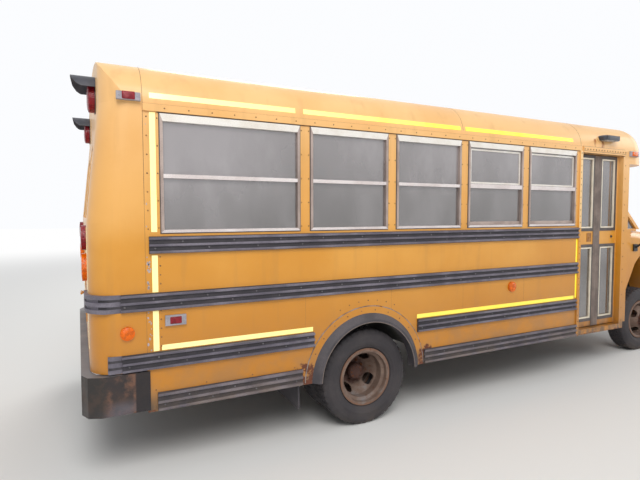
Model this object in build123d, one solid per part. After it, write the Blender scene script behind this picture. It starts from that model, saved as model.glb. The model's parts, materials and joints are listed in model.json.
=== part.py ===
from build123d import *
import os
from math import atan2, cos, pi, radians, sin, tan

# Small school bus: a coach body with a side entrance, built on a van chassis with its cab.
# Millimetres, +X forward, +Y to the left, +Z up.
# While the pieces are made, stations along X are measured from the rear axle, and heights from
# a level DATUM above the ground. Saving moves them: the origin then lies on the ground, under
# the middle of the whole bus.

# Height of the datum level above the ground
DATUM = 78.0

# Body shell
HALF_WIDTH = 1219.0
WALL = 40.0
ROOF_TOP = 2600.0
EAVES = 2206.0
ROOF_EDGE_R = 270.0
SKIRT_BOTTOM = 335.0
FLOOR_TOP = 730.0
FLOOR_THICKNESS = 35.0

# Rear end, stations of the outer face
REAR_WALL = -1910.0
REAR_WALL_TOP = -1832.0
REAR_BEND = 1500.0
REAR_SEAM = -1597.0
REAR_CORNER_R = 170.0
REAR_PANEL_BOTTOM = 600.0

# Side windows, from the rear: the first is wide, the others are alike
WINDOW_START = -1502.0
WIDE_WINDOW = 926.0
WINDOW = 654.0
WINDOW_GAP = 83.0
WINDOW_COUNT = 4
WINDOW_BOTTOM = 1436.0
WINDOW_TOP = 2155.0
SASH_BAR = 1769.0

# Entrance on the right, a door of two leaves
DOOR_POST = 87.0
ENTRANCE = 677.0
FRONT_POST = 65.0
ENTRANCE_TOP = 2147.0
ENTRANCE_BOTTOM = 385.0
LEAF_RECESS = 60.0
LEAF_THICKNESS = 32.0
POST_DEPTH = 100.0
HINGE_GAP = 8.0
LEAF_GAP = 10.0
LEAF_PANES_Z = [(478.0, 1208.0), (1404.0, ENTRANCE_TOP - 36)]

# Moulded roof cap over the cab
CAP_SEAM_BEFORE_DOOR = 20.0
CAP_OVERHANG = 403.0
CAP_RAKE = 60.0
CAP_BOTTOM = 2070.0
CAP_WALL = 35.0
CAP_ROUND = 260.0

# Cab
POST_TO_FRONT_AXLE = 811.0
CAB_HALF = 1008.0
CAB_WALL = 60.0
CAB_REAR_TO_POST = 601.0
BELT = 1371.0
SHIELD_TOP = 2045.0
PILLAR_FOOT_BEHIND_AXLE = 180.0
PILLAR_RUN = 578.0
TUMBLE = 8.9
CAB_BOTTOM = 400.0
COWL_TO_AXLE = 8.0
FRONT_OVERHANG = 745.0

# Running gear
TYRE_R = 372.0
TYRE_WIDTH = 223.0
WHEEL_Z = 370.0 - DATUM
RIM_R = 222.0
RIM_WIDTH = 176.0
DUAL_SPACING = 252.0
REAR_FACE_Y = 957.0
FRONT_TYRE_Y = 860.0
KINGPIN_Y = 770.0
RAIL_OUTER = 430.0
RAIL_HEIGHT = 155.0
RUNNING_GAP = 0.3

# Worked out from the sizes above
FLOOR_BOTTOM = FLOOR_TOP - FLOOR_THICKNESS
WINDOWS_END = WINDOW_START + WIDE_WINDOW + WINDOW_COUNT * (WINDOW_GAP + WINDOW)
DOOR_REAR = WINDOWS_END + DOOR_POST
DOOR_FRONT = DOOR_REAR + ENTRANCE
BODY_FRONT = DOOR_FRONT + FRONT_POST
FRONT_AXLE = BODY_FRONT + POST_TO_FRONT_AXLE
CAP_SEAM = DOOR_REAR - CAP_SEAM_BEFORE_DOOR
CAB_REAR = BODY_FRONT - CAB_REAR_TO_POST
CAP_FRONT = BODY_FRONT + CAP_OVERHANG
FRONT_END = FRONT_AXLE + FRONT_OVERHANG
INNER = HALF_WIDTH - WALL
CORNER_FRONT = REAR_WALL + REAR_CORNER_R
RAIL_TOP = FLOOR_BOTTOM
RAIL_BOTTOM = RAIL_TOP - RAIL_HEIGHT
CROWN_DROP = ROOF_TOP - EAVES
EDGE_Y = HALF_WIDTH - ROOF_EDGE_R
CROWN_R = (CROWN_DROP**2 + EDGE_Y**2 - ROOF_EDGE_R**2) / (2 * (CROWN_DROP - ROOF_EDGE_R))
PILLAR_FOOT = FRONT_AXLE - PILLAR_FOOT_BEHIND_AXLE
PILLAR_SLOPE = PILLAR_RUN / (CAP_BOTTOM + 5 - BELT)

# Warning lamps with visors: centre, lens and visor
WARNING_Y = 750.0
WARNING_Z = 2302.0
WARNING_LENS_R = 90.0
VISOR_R = 112.0
VISOR_LENGTH = 144.0
LENS_RIM = 50.0
LENS_CROWN = 12.0
REAR_END = REAR_WALL_TOP - VISOR_LENGTH
ORIGIN_STATION = (REAR_END + FRONT_END) / 2


# Helpers for shapes

def block(x, y, z):
    """Box between the low and high value on each axis."""
    spans = (x, y, z)
    middle = [(low + high) / 2 for low, high in spans]
    return Pos(*middle) * Box(*[abs(high - low) for low, high in spans])


def prism(outline, along, low, high):
    """Closed outline of two-number points pushed along one axis from low to high."""
    place = {
        "X": lambda a, b: (low, a, b),
        "Y": lambda a, b: (a, low, b),
        "Z": lambda a, b: (a, b, low),
    }[along]
    way = {"X": Vector(1, 0, 0), "Y": Vector(0, 1, 0), "Z": Vector(0, 0, 1)}[along]
    wire = Wire.make_polygon([Vector(*place(a, b)) for a, b in outline], close=True)
    return Solid.extrude(Face(wire), way * (high - low))


def rod(start, end, radius):
    """Round bar between two points."""
    low, high = Vector(*start), Vector(*end)
    return Solid.make_cylinder(radius, (high - low).length, Plane(origin=low, z_dir=high - low))


def turned(profile, x, z):
    """Profile of (radius, y) points turned about the crosswise axis through x and z."""
    wire = Wire.make_polygon([Vector(x + r, y, z) for r, y in profile], close=True)
    return Solid.revolve(Face(wire), 360, Axis((x, 0, z), (0, 1, 0)))


def both_sides(shape):
    """The shape on the left and its mirror image on the right."""
    return [shape, mirror(shape, about=Plane.XZ)]


def save(node, *shapes):
    """Write the solids of one node, moved so that the origin is under the bus's middle."""
    solids = []
    for shape in shapes:
        solids += list((Pos(-ORIGIN_STATION, 0, DATUM) * shape).solids())
    export_step(Compound(solids), "parts/" + node + ".step")


# Forms of the body that several pieces share

def body_form(start, end, base, inset):
    """Body's cross-section, upright sides under an arched roof, from start to end."""
    half = HALF_WIDTH - inset
    edge = ROOF_EDGE_R - inset
    meet = pi / 2 - atan2(EDGE_Y, EAVES - (ROOF_TOP - CROWN_R))

    def on_edge(side, angle):
        return (start, side * (EDGE_Y + edge * cos(angle)), EAVES + edge * sin(angle))

    left = [on_edge(1, 0), on_edge(1, meet / 2), on_edge(1, meet)]
    right = [on_edge(-1, 0), on_edge(-1, meet / 2), on_edge(-1, meet)]
    edges = [
        Line((start, half, base), left[0]),
        ThreePointArc(*left),
        ThreePointArc(left[2], (start, 0, ROOF_TOP - inset), right[2]),
        ThreePointArc(*reversed(right)),
        Line(right[0], (start, -half, base)),
        Line((start, -half, base), (start, half, base)),
    ]
    return Solid.extrude(Face(Wire(edges)), Vector(end - start, 0, 0))


def rear_plan(height, rear, front, inset):
    """Outline of the rear end in plan: a round corner on each side."""
    side = HALF_WIDTH - inset
    corner = REAR_CORNER_R - inset
    back = rear + inset
    slant = corner * (1 - cos(radians(45)))

    def corner_arc(sign):
        return [
            (back + corner, sign * side, height),
            (back + slant, sign * (side - slant), height),
            (back, sign * (side - corner), height),
        ]

    near, far = corner_arc(-1), corner_arc(1)
    edges = [
        Line((front, -side, height), near[0]),
        ThreePointArc(*near),
        Line(near[2], far[2]),
        ThreePointArc(*reversed(far)),
        Line(far[0], (front, side, height)),
        Line((front, side, height), (front, -side, height)),
    ]
    return Wire(edges)


def rear_form(base, inset, front=REAR_SEAM):
    """Rear end as one closed form: upright below the windows, leaning in above them."""
    # height and station at the foot of each stage, then how far it leans and where it ends
    stages = [
        (base, REAR_WALL, 0, REAR_BEND),
        (REAR_BEND, REAR_WALL, REAR_WALL_TOP - REAR_WALL, EAVES),
        (EAVES, REAR_WALL_TOP, 0, ROOF_TOP + 50),
    ]
    form = None
    for low, rear, lean, high in stages:
        plan = Face(rear_plan(low, rear, front + 200, inset))
        stage = Solid.extrude(plan, Vector(lean, 0, high - low))
        form = stage if form is None else form + stage
    left = form & block((REAR_WALL - 100, front + 200), (0, HALF_WIDTH + 1), (base - 1, ROOF_TOP + 1))
    left = left & body_form(REAR_WALL - 100, front, base, inset)
    return left + mirror(left, about=Plane.XZ)


def window_places():
    """Start and width of each side window, from the rear."""
    places = [(WINDOW_START, WIDE_WINDOW)]
    start = WINDOW_START + WIDE_WINDOW + WINDOW_GAP
    for _ in range(WINDOW_COUNT):
        places.append((start, WINDOW))
        start += WINDOW + WINDOW_GAP
    return places


# Rear wheel arch
REAR_ARCH = (-10.0, 325.0)
REAR_ARCH_R = 415.0
FLARE_INNER_R = 410.0
FLARE_OUTER_R = 475.0
FLARE_PROUD = 45.0
FLAP_BOTTOM = 150.0
ARCH_RING_R = 525.0
TRIM_PROUD = 12.0
GUTTER_BOTTOM = 2163.0


def arch_disc(radius, low, high):
    """Disc about the rear arch's centre."""
    x, z = REAR_ARCH
    return rod((x, low, z), (x, high, z), radius)


def side_wall(front):
    """Right-hand side panel with its window cut-outs, arch ring and gutter."""
    wall = block((REAR_SEAM, front), (-HALF_WIDTH, -INNER), (SKIRT_BOTTOM, EAVES))
    ring = arch_disc(ARCH_RING_R, -HALF_WIDTH - 4, -HALF_WIDTH)
    ring = ring & block((-700, 700), (-HALF_WIDTH - 10, 0), (SKIRT_BOTTOM, EAVES))
    wall = wall + ring
    wall = wall - arch_disc(REAR_ARCH_R, -HALF_WIDTH - 20, -INNER + 20)
    for start, width in window_places():
        hole = block(
            (start, start + width),
            (-HALF_WIDTH - 20, -INNER + 20),
            (WINDOW_BOTTOM, WINDOW_TOP),
        )
        wall = wall - hole
    gutter = block(
        (REAR_SEAM, min(front, CAP_SEAM)),
        (-HALF_WIDTH - TRIM_PROUD, -HALF_WIDTH),
        (GUTTER_BOTTOM, EAVES),
    )
    return wall + gutter


def make_side_walls():
    right = side_wall(BODY_FRONT)
    post_y = (-HALF_WIDTH, -HALF_WIDTH + POST_DEPTH)
    rear_post = block((DOOR_REAR - 40, DOOR_REAR), post_y, (SKIRT_BOTTOM, EAVES))
    front_post = block((DOOR_FRONT, BODY_FRONT), post_y, (SKIRT_BOTTOM, EAVES))
    header = block((DOOR_REAR, DOOR_FRONT), post_y, (ENTRANCE_TOP, EAVES))
    sill = block((DOOR_REAR, DOOR_FRONT), post_y, (SKIRT_BOTTOM, ENTRANCE_BOTTOM))
    post_cover = block(
        (DOOR_REAR - 36, DOOR_REAR),
        (-HALF_WIDTH - TRIM_PROUD, -HALF_WIDTH),
        (SKIRT_BOTTOM, GUTTER_BOTTOM),
    )
    header_band = block(
        (DOOR_REAR + 7, DOOR_FRONT + 16),
        (-HALF_WIDTH - TRIM_PROUD, -HALF_WIDTH),
        (ENTRANCE_TOP + 3, EAVES),
    )
    right = right + rear_post + front_post + header + sill + post_cover + header_band
    right = right - block(
        (DOOR_REAR, DOOR_FRONT),
        (-HALF_WIDTH - 1, -HALF_WIDTH + POST_DEPTH + 1),
        (ENTRANCE_BOTTOM, ENTRANCE_TOP),
    )
    save("side_wall_right", right)

    left = mirror(side_wall(CAB_REAR), about=Plane.XZ)
    corner_return = block(
        (CAB_REAR - WALL, CAB_REAR),
        (CAB_HALF - CAB_WALL, HALF_WIDTH),
        (SKIRT_BOTTOM, CAP_BOTTOM),
    )
    left = left + corner_return
    save("side_wall_left", left)


def make_roof():
    outer = body_form(REAR_SEAM, CAP_SEAM, EAVES - WALL, 0)
    inner = body_form(REAR_SEAM - 1, CAP_SEAM + 1, EAVES - 2 * WALL, WALL)
    below = block((REAR_SEAM - 2, CAP_SEAM + 2), (-HALF_WIDTH - 1, HALF_WIDTH + 1),
                  (EAVES - 3 * WALL, EAVES))
    save("roof", outer - inner - below)


# Emergency door and windows in the rear wall
REAR_DOOR_HALF = 460.0
REAR_DOOR_BOTTOM = 690.0
REAR_DOOR_TOP = 2080.0
REAR_PANE_Y = (570.0, 960.0)
REAR_PANE_Z = (1525.0, 1990.0)
DOOR_PANE_HALF = 340.0
DOOR_PANES_Z = [(940.0, 1300.0), (1525.0, 1980.0)]


def rear_skin(thickness, base=REAR_PANEL_BOTTOM):
    """Rear end as a panel of the given thickness, open at the front and below."""
    return rear_form(base, 0) - rear_form(base - 10, thickness, REAR_SEAM + 10)


def make_rear():
    shell = rear_skin(WALL)
    through = (REAR_WALL - 50, REAR_WALL_TOP + 150)
    shell = shell - block(
        through, (-REAR_DOOR_HALF, REAR_DOOR_HALF), (REAR_DOOR_BOTTOM, REAR_DOOR_TOP)
    )
    pane_hole = block(through, REAR_PANE_Y, REAR_PANE_Z)
    for hole in both_sides(pane_hole):
        shell = shell - hole
    save("rear_shell", shell)

    leaf_half = REAR_DOOR_HALF - HINGE_GAP
    outline = block(
        through,
        (-leaf_half, leaf_half),
        (REAR_DOOR_BOTTOM + HINGE_GAP, REAR_DOOR_TOP - HINGE_GAP),
    )
    door = rear_skin(WALL) & outline
    panes = []
    for low, high in DOOR_PANES_Z:
        hole = block(through, (-DOOR_PANE_HALF, DOOR_PANE_HALF), (low, high))
        door = door - hole
        panes.append(pane_in_rear(hole))
    barrel_r = HINGE_GAP - RUNNING_GAP
    for low in (780, 1080, 1340):
        door = door + rod(
            (REAR_WALL, -leaf_half, low), (REAR_WALL, -leaf_half, low + 110), barrel_r
        )
    handle = rod((REAR_WALL - 32, 380, 880), (REAR_WALL - 32, 250, 880), 9)
    stem = rod((REAR_WALL - 32, 320, 880), (REAR_WALL + 5, 320, 880), 12)
    door = door + handle + stem
    save("emergency_door", door)
    save("emergency_door_glass", *panes)
    return [pane_in_rear(hole) for hole in both_sides(pane_hole)]


def pane_in_rear(hole):
    """Glass in the rear wall, set in from its outer face, filling the given hole."""
    outer = rear_form(REAR_PANEL_BOTTOM, 14)
    inner = rear_form(REAR_PANEL_BOTTOM - 10, 20, REAR_SEAM + 10)
    return (outer - inner) & hole


def make_front_cap():
    def form(inset, start):
        front = CAP_FRONT - inset
        base = CAP_BOTTOM + inset
        solid = body_form(start, front + 10, base, inset)
        rake = CAP_RAKE * (ROOF_TOP - base) / (ROOF_TOP - CAP_BOTTOM)
        nose = prism(
            [(front, base - 1), (front + 200, base - 1), (front + 200, ROOF_TOP + 1),
             (front - rake, ROOF_TOP + 1)],
            "Y", -HALF_WIDTH - 10, HALF_WIDTH + 10,
        )
        solid = (solid - nose).solids()[0]
        face = solid.faces().sort_by(Axis.X)[-1]
        rim = [edge for edge in face.edges() if edge.center().Z > base + 1]
        return fillet(rim, CAP_ROUND - inset)

    cap = form(0, CAP_SEAM)
    cavity = form(CAP_WALL, CAP_SEAM - 10)
    for y in (-WARNING_Y, WARNING_Y):
        cap = cap + rod((CAP_FRONT - 150, y, WARNING_Z - 60), (CAP_FRONT + 6, y, WARNING_Z - 60),
                        VISOR_R + 10)
    cap = cap - cavity
    over_door = block((CAP_SEAM - 10, BODY_FRONT), (-HALF_WIDTH - 20, 0), (CAP_BOTTOM - 10, EAVES))
    over_wall = block((CAP_SEAM - 10, CAB_REAR), (0, HALF_WIDTH + 20), (CAP_BOTTOM - 10, EAVES))
    headroom = block(
        (CAP_SEAM - 10, BODY_FRONT + 20),
        (-CAB_HALF + CAB_WALL, CAB_HALF - CAB_WALL - 80),
        (CAP_BOTTOM - 10, CAP_BOTTOM + CAP_WALL + 10),
    )
    save("front_cap", cap - over_door - over_wall - headroom)


# Side window frames: width of the rails, depth in the wall
FRAME_SIDE = 18.0
FRAME_TOP = 45.0
FRAME_PROUD = 8.0
FRAME_DEPTH = 34.0
GLASS_THICKNESS = 6.0
GLASS_SET_IN = 14.0


def make_windows(rear_panes):
    frames = []
    panes = []
    for index, (start, width) in enumerate(window_places()):
        bar_height = 35 if index > 2 else 24
        outer = block(
            (start, start + width),
            (-HALF_WIDTH - FRAME_PROUD, -HALF_WIDTH + FRAME_DEPTH),
            (WINDOW_BOTTOM, WINDOW_TOP),
        )
        frame = outer
        glass_z = [
            (WINDOW_BOTTOM + FRAME_SIDE, SASH_BAR),
            (SASH_BAR + bar_height, WINDOW_TOP - FRAME_TOP),
        ]
        for low, high in glass_z:
            light_x = (start + FRAME_SIDE, start + width - FRAME_SIDE)
            frame = frame - block(light_x, (-HALF_WIDTH - 50, -INNER + 50), (low, high))
            pane = block(
                light_x,
                (-HALF_WIDTH + GLASS_SET_IN, -HALF_WIDTH + GLASS_SET_IN + GLASS_THICKNESS),
                (low, high),
            )
            panes += both_sides(pane)
        frames += both_sides(frame)
    save("window_frames", *frames)
    save("fixed_glass", *panes, *rear_panes, make_windshield(), quarter_glass())


def make_trim():
    """Rub rails along the sides, each a strip with three ribs."""
    base = 10.0
    rib = 22.0
    arch_rear = REAR_ARCH[0] - ARCH_RING_R - 30
    arch_front = REAR_ARCH[0] + ARCH_RING_R + 9
    # bottom, top, start, end
    rows = [
        (1310, 1415, -1575, DOOR_REAR - 1),
        (964, 1072, CORNER_FRONT, DOOR_REAR - 15),
        (602, 707, CORNER_FRONT, REAR_ARCH[0] - 458),
        (602, 707, REAR_ARCH[0] + 465, DOOR_REAR - 48),
        (338, 453, -1541, arch_rear + 2),
        (338, 453, arch_front, DOOR_REAR - 37),
    ]
    strips = []
    for bottom, top, start, end in rows:
        strips += both_sides(ribbed_strip(bottom, top, start, min(end, DOOR_REAR - 37), base, rib))
    for bottom, top, first, last_y in [(964, 1072, REAR_WALL - 30, 900), (602, 707, -1817, 0)]:
        strips += both_sides(ribbed_corner(bottom, top, first, last_y, base, rib))
    save("rub_rails", *strips)


def rib_levels(bottom, top):
    """Heights of the three ribs of a rub rail."""
    height = (top - bottom) * 0.22
    gap = (top - bottom - 3 * height) / 2
    return [(bottom + i * (height + gap), bottom + i * (height + gap) + height) for i in range(3)]


def ribbed_strip(bottom, top, start, end, base, rib):
    """Straight rub rail on the left wall."""
    outline = [(HALF_WIDTH, bottom)]
    for low, high in rib_levels(bottom, top):
        outline += [(HALF_WIDTH + base, low), (HALF_WIDTH + rib, low + 5)]
        outline += [(HALF_WIDTH + rib, high - 5), (HALF_WIDTH + base, high)]
    outline.append((HALF_WIDTH, top))
    return prism(outline, "X", start, end)


def ribbed_corner(bottom, top, first, inner_y, base, rib):
    """Rub rail that follows the rear corner on the left side."""
    reach = block((first, CORNER_FRONT), (inner_y, HALF_WIDTH + 50), (bottom, top))

    def layer(out):
        return rear_form(REAR_PANEL_BOTTOM - 10, -out) - rear_form(REAR_PANEL_BOTTOM - 20, 0, REAR_SEAM + 1)

    strip = layer(base) & reach
    for low, high in rib_levels(bottom, top):
        strip = strip + (layer(rib) & block((first, CORNER_FRONT), (inner_y, HALF_WIDTH + 50), (low, high)))
    return strip


def make_arch_rubber():
    """Rubber flare round each rear wheel arch, and the flap behind the wheels."""
    x, z = REAR_ARCH
    profile = [
        (FLARE_INNER_R, HALF_WIDTH - WALL),
        (FLARE_INNER_R, HALF_WIDTH + FLARE_PROUD),
        (FLARE_INNER_R + 22, HALF_WIDTH + FLARE_PROUD),
        (FLARE_OUTER_R - 14, HALF_WIDTH + 18),
        (FLARE_OUTER_R, HALF_WIDTH + 4),
        (REAR_ARCH_R, HALF_WIDTH + 4),
        (REAR_ARCH_R, HALF_WIDTH - WALL),
    ]
    flare = turned(profile, x, z) & block(
        (x - 600, x + 600), (0, HALF_WIDTH + 100), (SKIRT_BOTTOM, EAVES)
    )
    flap = block((-575, -563), (715, HALF_WIDTH - WALL - 5), (FLAP_BOTTOM, FLOOR_BOTTOM))
    save("arch_rubber", *both_sides(flare), *both_sides(flap))


# Floor, wheelhouses and entrance steps
STEP_DEPTH = 180.0
STEP_INNER = 760.0
STEP_PLATE = 20.0
CAB_FLOOR_FRONT = FRONT_AXLE - 512.0
WHEELHOUSE_R = 430.0
WHEELHOUSE_INNER = 645.0
WHEELHOUSE_WALL = 25.0
WHEELHOUSE_BOTTOM = 500.0


def make_floor():
    post_inner = HALF_WIDTH - POST_DEPTH
    floor_z = (FLOOR_BOTTOM, FLOOR_TOP)
    inside_rear = REAR_WALL + WALL
    floor = block((inside_rear, CAB_REAR - WALL), (-INNER, INNER), floor_z)
    floor = floor - block((inside_rear - 1, REAR_SEAM), (INNER - REAR_CORNER_R, INNER + 1), floor_z)
    floor = floor - block((inside_rear - 1, REAR_SEAM), (-INNER - 1, REAR_CORNER_R - INNER), floor_z)
    floor = floor + block((CAB_REAR - WALL, CAB_FLOOR_FRONT),
                          (-CAB_HALF + CAB_WALL, CAB_HALF - CAB_WALL), floor_z)
    floor = floor - block((DOOR_REAR - 40, DOOR_FRONT + STEP_PLATE), (-INNER - 1, -STEP_INNER), floor_z)
    x, z = REAR_ARCH
    for side in (-1, 1):
        span = sorted((side * WHEELHOUSE_INNER, side * INNER))
        hole = block((x - WHEELHOUSE_R - 20, x + WHEELHOUSE_R + 20), span, floor_z)
        floor = floor - hole
    houses = []
    outer_r = WHEELHOUSE_R + WHEELHOUSE_WALL
    outer = rod((x, WHEELHOUSE_INNER, z), (x, INNER, z), outer_r)
    inner = rod((x, WHEELHOUSE_INNER + WHEELHOUSE_WALL, z), (x, INNER + 1, z), WHEELHOUSE_R)
    house = (outer - inner) & block((x - 600, x + 600), (0, HALF_WIDTH), (WHEELHOUSE_BOTTOM, EAVES))
    houses = both_sides(house)
    for shape in houses:
        floor = floor + shape

    riser = STEP_PLATE
    low = ENTRANCE_BOTTOM
    mid = low + (FLOOR_TOP - low) / 2
    tread_1 = -post_inner + STEP_DEPTH
    outline = [
        (-post_inner, low), (tread_1 + riser, low), (tread_1 + riser, mid - riser),
        (-STEP_INNER + riser, mid - riser), (-STEP_INNER + riser, FLOOR_BOTTOM),
        (-STEP_INNER, FLOOR_TOP), (-STEP_INNER, mid), (tread_1, mid), (tread_1, low + riser),
        (-post_inner, low + riser),
    ]
    steps = prism(outline, "X", DOOR_REAR, DOOR_FRONT)
    for start in (DOOR_REAR - STEP_PLATE, DOOR_FRONT):
        steps = steps + block((start, start + STEP_PLATE), (-post_inner, -STEP_INNER + riser),
                              (low, FLOOR_TOP))
    save("floor", floor, steps)


# Chassis
RAIL_FLANGE = 70.0
RAIL_PLATE = 8.0
RAIL_REAR = -1870.0
HITCH_HOLES_X = -1700.0
HITCH_HOLES_Z = 617.0
HITCH_SPACING_X = 100.0
HITCH_SPACING_Z = 60.0
HITCH_HOLE_R = 7.5


def make_chassis():
    rail_front = FRONT_AXLE + 545
    web = block((RAIL_REAR, rail_front), (RAIL_OUTER - RAIL_PLATE, RAIL_OUTER), (RAIL_BOTTOM, RAIL_TOP))
    flange_y = (RAIL_OUTER - RAIL_FLANGE, RAIL_OUTER)
    lower = block((RAIL_REAR, rail_front), flange_y, (RAIL_BOTTOM, RAIL_BOTTOM + RAIL_PLATE))
    upper = block((RAIL_REAR, rail_front), flange_y, (RAIL_TOP - RAIL_PLATE, RAIL_TOP))
    rail = web + lower + upper
    frame = rail + mirror(rail, about=Plane.XZ)
    inside = RAIL_OUTER - RAIL_PLATE
    for station in (RAIL_REAR + 36, -620, 560, 1500, 2400, rail_front - 40):
        frame = frame + block((station - 35, station + 35), (-inside, inside),
                              (RAIL_TOP - 95, RAIL_TOP - RAIL_PLATE))
    for station in (REAR_SEAM + 60, -760, 620, 1400, 2200):
        for side in (-1, 1):
            reach = sorted((side * RAIL_OUTER, side * INNER))
            frame = frame + block((station - 25, station + 25), reach, (RAIL_TOP - 60, RAIL_TOP))
    bumper_back = REAR_BUMPER_BACK + REAR_BUMPER_PLATE
    for side in (-1, 1):
        bracket = sorted((side * (RAIL_OUTER - RAIL_FLANGE), side * RAIL_OUTER))
        frame = frame + block((bumper_back, RAIL_REAR), bracket, (RAIL_BOTTOM - 20, REAR_BUMPER_Z[1] - 8))
        front_bracket = block((rail_front, FRONT_END - 25), bracket, (RAIL_BOTTOM, RAIL_TOP - 20))
        frame = frame + front_bracket
    for x in (HITCH_HOLES_X - HITCH_SPACING_X / 2, HITCH_HOLES_X + HITCH_SPACING_X / 2):
        for z in (HITCH_HOLES_Z - HITCH_SPACING_Z / 2, HITCH_HOLES_Z + HITCH_SPACING_Z / 2):
            frame = frame - rod((x, -RAIL_OUTER - 5, z), (x, RAIL_OUTER + 5, z), HITCH_HOLE_R)
    save("chassis_frame", frame)


# Leaf springs: half length, width, top of the pack, height of a leaf
SPRING_Y = 515.0
SPRING_WIDTH = 70.0
LEAF = 14.0


def leaf_spring(station, y, half_length, seat):
    """Pack of four leaves, longest on top, with a hanger at each end up to the rail."""
    pack = None
    for index in range(4):
        reach = half_length * (1 - 0.2 * index)
        low = seat + LEAF * (3 - index)
        leaf = block((station - reach, station + reach), (y - SPRING_WIDTH / 2, y + SPRING_WIDTH / 2),
                     (low, low + LEAF))
        pack = leaf if pack is None else pack + leaf
    for end in (-1, 1):
        x = station + end * (half_length - 10)
        hanger = block((x - 30, x + 30), (min(y - SPRING_WIDTH / 2, RAIL_OUTER), y + SPRING_WIDTH / 2),
                       (seat + 3 * LEAF, RAIL_BOTTOM + 60))
        pack = pack + (hanger if y > RAIL_OUTER else hanger & block((x - 40, x + 40), (0, HALF_WIDTH), (0, RAIL_BOTTOM)))
    return pack


def make_axles():
    seat = WHEEL_Z + 50
    tube = rod((0, -DRUM_Y, WHEEL_Z), (0, DRUM_Y, WHEEL_Z), 55)
    spindle = rod((0, -REAR_FACE_Y + 10, WHEEL_Z), (0, REAR_FACE_Y - 10, WHEEL_Z), SPINDLE_R)
    housing = Pos(0, 0, WHEEL_Z) * Sphere(165)
    nose = rod((0, 0, WHEEL_Z), (250, 0, WHEEL_Z + 15), 62)
    axle = tube + spindle + housing + nose
    for side in (-1, 1):
        axle = axle + rod((0, side * (DRUM_Y - 12), WHEEL_Z), (0, side * DRUM_Y, WHEEL_Z), 160)
    spring = leaf_spring(0, SPRING_Y, 640, seat)
    pad = block((-60, 60), (SPRING_Y - 40, SPRING_Y + 40), (WHEEL_Z - 60, seat))
    for shape in both_sides(spring + pad):
        axle = axle + shape
    save("rear_axle", axle)

    beam_outline = [
        (-KINGPIN_Y, WHEEL_Z - 60), (-KINGPIN_Y, WHEEL_Z + 60), (-560, WHEEL_Z + 50),
        (-440, WHEEL_Z - 20), (440, WHEEL_Z - 20), (560, WHEEL_Z + 50), (KINGPIN_Y, WHEEL_Z + 60),
        (KINGPIN_Y, WHEEL_Z - 60), (560, WHEEL_Z - 40), (440, WHEEL_Z - 110), (-440, WHEEL_Z - 110),
        (-560, WHEEL_Z - 40),
    ]
    beam = prism(beam_outline, "X", FRONT_AXLE - 40, FRONT_AXLE + 40)
    for side in (-1, 1):
        y = side * KINGPIN_Y
        boss = rod((FRONT_AXLE, y, WHEEL_Z - 60), (FRONT_AXLE, y, WHEEL_Z + 60), 45)
        pin_hole = rod((FRONT_AXLE, y, WHEEL_Z - 90), (FRONT_AXLE, y, WHEEL_Z + 90),
                       KINGPIN_R + RUNNING_GAP)
        beam = beam + boss - pin_hole
    front_y = RAIL_OUTER - 35
    spring = leaf_spring(FRONT_AXLE, front_y, 480, WHEEL_Z + 50)
    pad = block((FRONT_AXLE - 40, FRONT_AXLE + 40), (front_y - 35, front_y + 35),
                (WHEEL_Z - 20, WHEEL_Z + 50))
    for shape in both_sides(spring + pad):
        beam = beam + shape
    save("front_axle", beam)


# Wheels: the rim's flange, well and disc, drum and hub
DRUM_Y = 700.0
DRUM_R = 165.0
SPINDLE_R = 45.0
KINGPIN_R = 28.0
HUB_R = 95.0
DISC_R = 172.0
HAND_HOLE_R = 25.0
HAND_HOLE_HALF = 22.0
HAND_HOLE_TURN = radians(57)
HAND_HOLES = 4
RIM_PLATE = 9.0


def rim(x, face_y, side, way):
    """Steel wheel whose rim lies by way times the offset from its mounting face."""
    offset = DUAL_SPACING / 2

    def at(a):
        return face_y + side * a

    low, high = way * offset - RIM_WIDTH / 2, way * offset + RIM_WIDTH / 2
    well_low, well_high = low + 45, high - 45
    t = RIM_PLATE
    barrel = turned(
        [
            (RIM_R, at(low)), (RIM_R, at(low + t)), (RIM_R - 16, at(low + t)),
            (RIM_R - 18, at(well_low - 8)), (DISC_R + t, at(well_low + 6)),
            (DISC_R + t, at(well_high - 6)), (RIM_R - 18, at(well_high + 8)),
            (RIM_R - 16, at(high - t)), (RIM_R, at(high - t)), (RIM_R, at(high)),
            (RIM_R - 26, at(high)), (RIM_R - 28, at(well_high + 12)), (DISC_R, at(well_high)),
            (DISC_R, at(well_low)), (RIM_R - 28, at(well_low - 12)), (RIM_R - 26, at(low)),
        ],
        x, WHEEL_Z,
    )
    root = way * (offset - RIM_WIDTH / 2 + 60)
    disc = turned(
        [
            (HUB_R - 38, at(0)), (108, at(0)), (DISC_R + 4, at(root)),
            (DISC_R + 4, at(root + way * 12)), (108, at(way * 12)), (HUB_R - 38, at(way * 12)),
        ],
        x, WHEEL_Z,
    )
    for index in range(HAND_HOLES):
        angle = 2 * pi * index / HAND_HOLES + HAND_HOLE_TURN
        middle = (x + 140 * cos(angle), WHEEL_Z + 140 * sin(angle))
        half_x, half_z = -HAND_HOLE_HALF * sin(angle), HAND_HOLE_HALF * cos(angle)
        low_y, high_y = sorted((at(-way * 40), at(way * 140)))
        across = [HAND_HOLE_R * cos(angle), HAND_HOLE_R * sin(angle)]
        corners = [
            (middle[0] + i * half_x + j * across[0], middle[1] + i * half_z + j * across[1])
            for i, j in ((-1, -1), (1, -1), (1, 1), (-1, 1))
        ]
        slot = prism(corners, "Y", low_y, high_y)
        for end in (-1, 1):
            hx, hz = middle[0] + end * half_x, middle[1] + end * half_z
            slot = slot + rod((hx, low_y, hz), (hx, high_y, hz), HAND_HOLE_R)
        disc = disc - slot
    return barrel + disc


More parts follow.
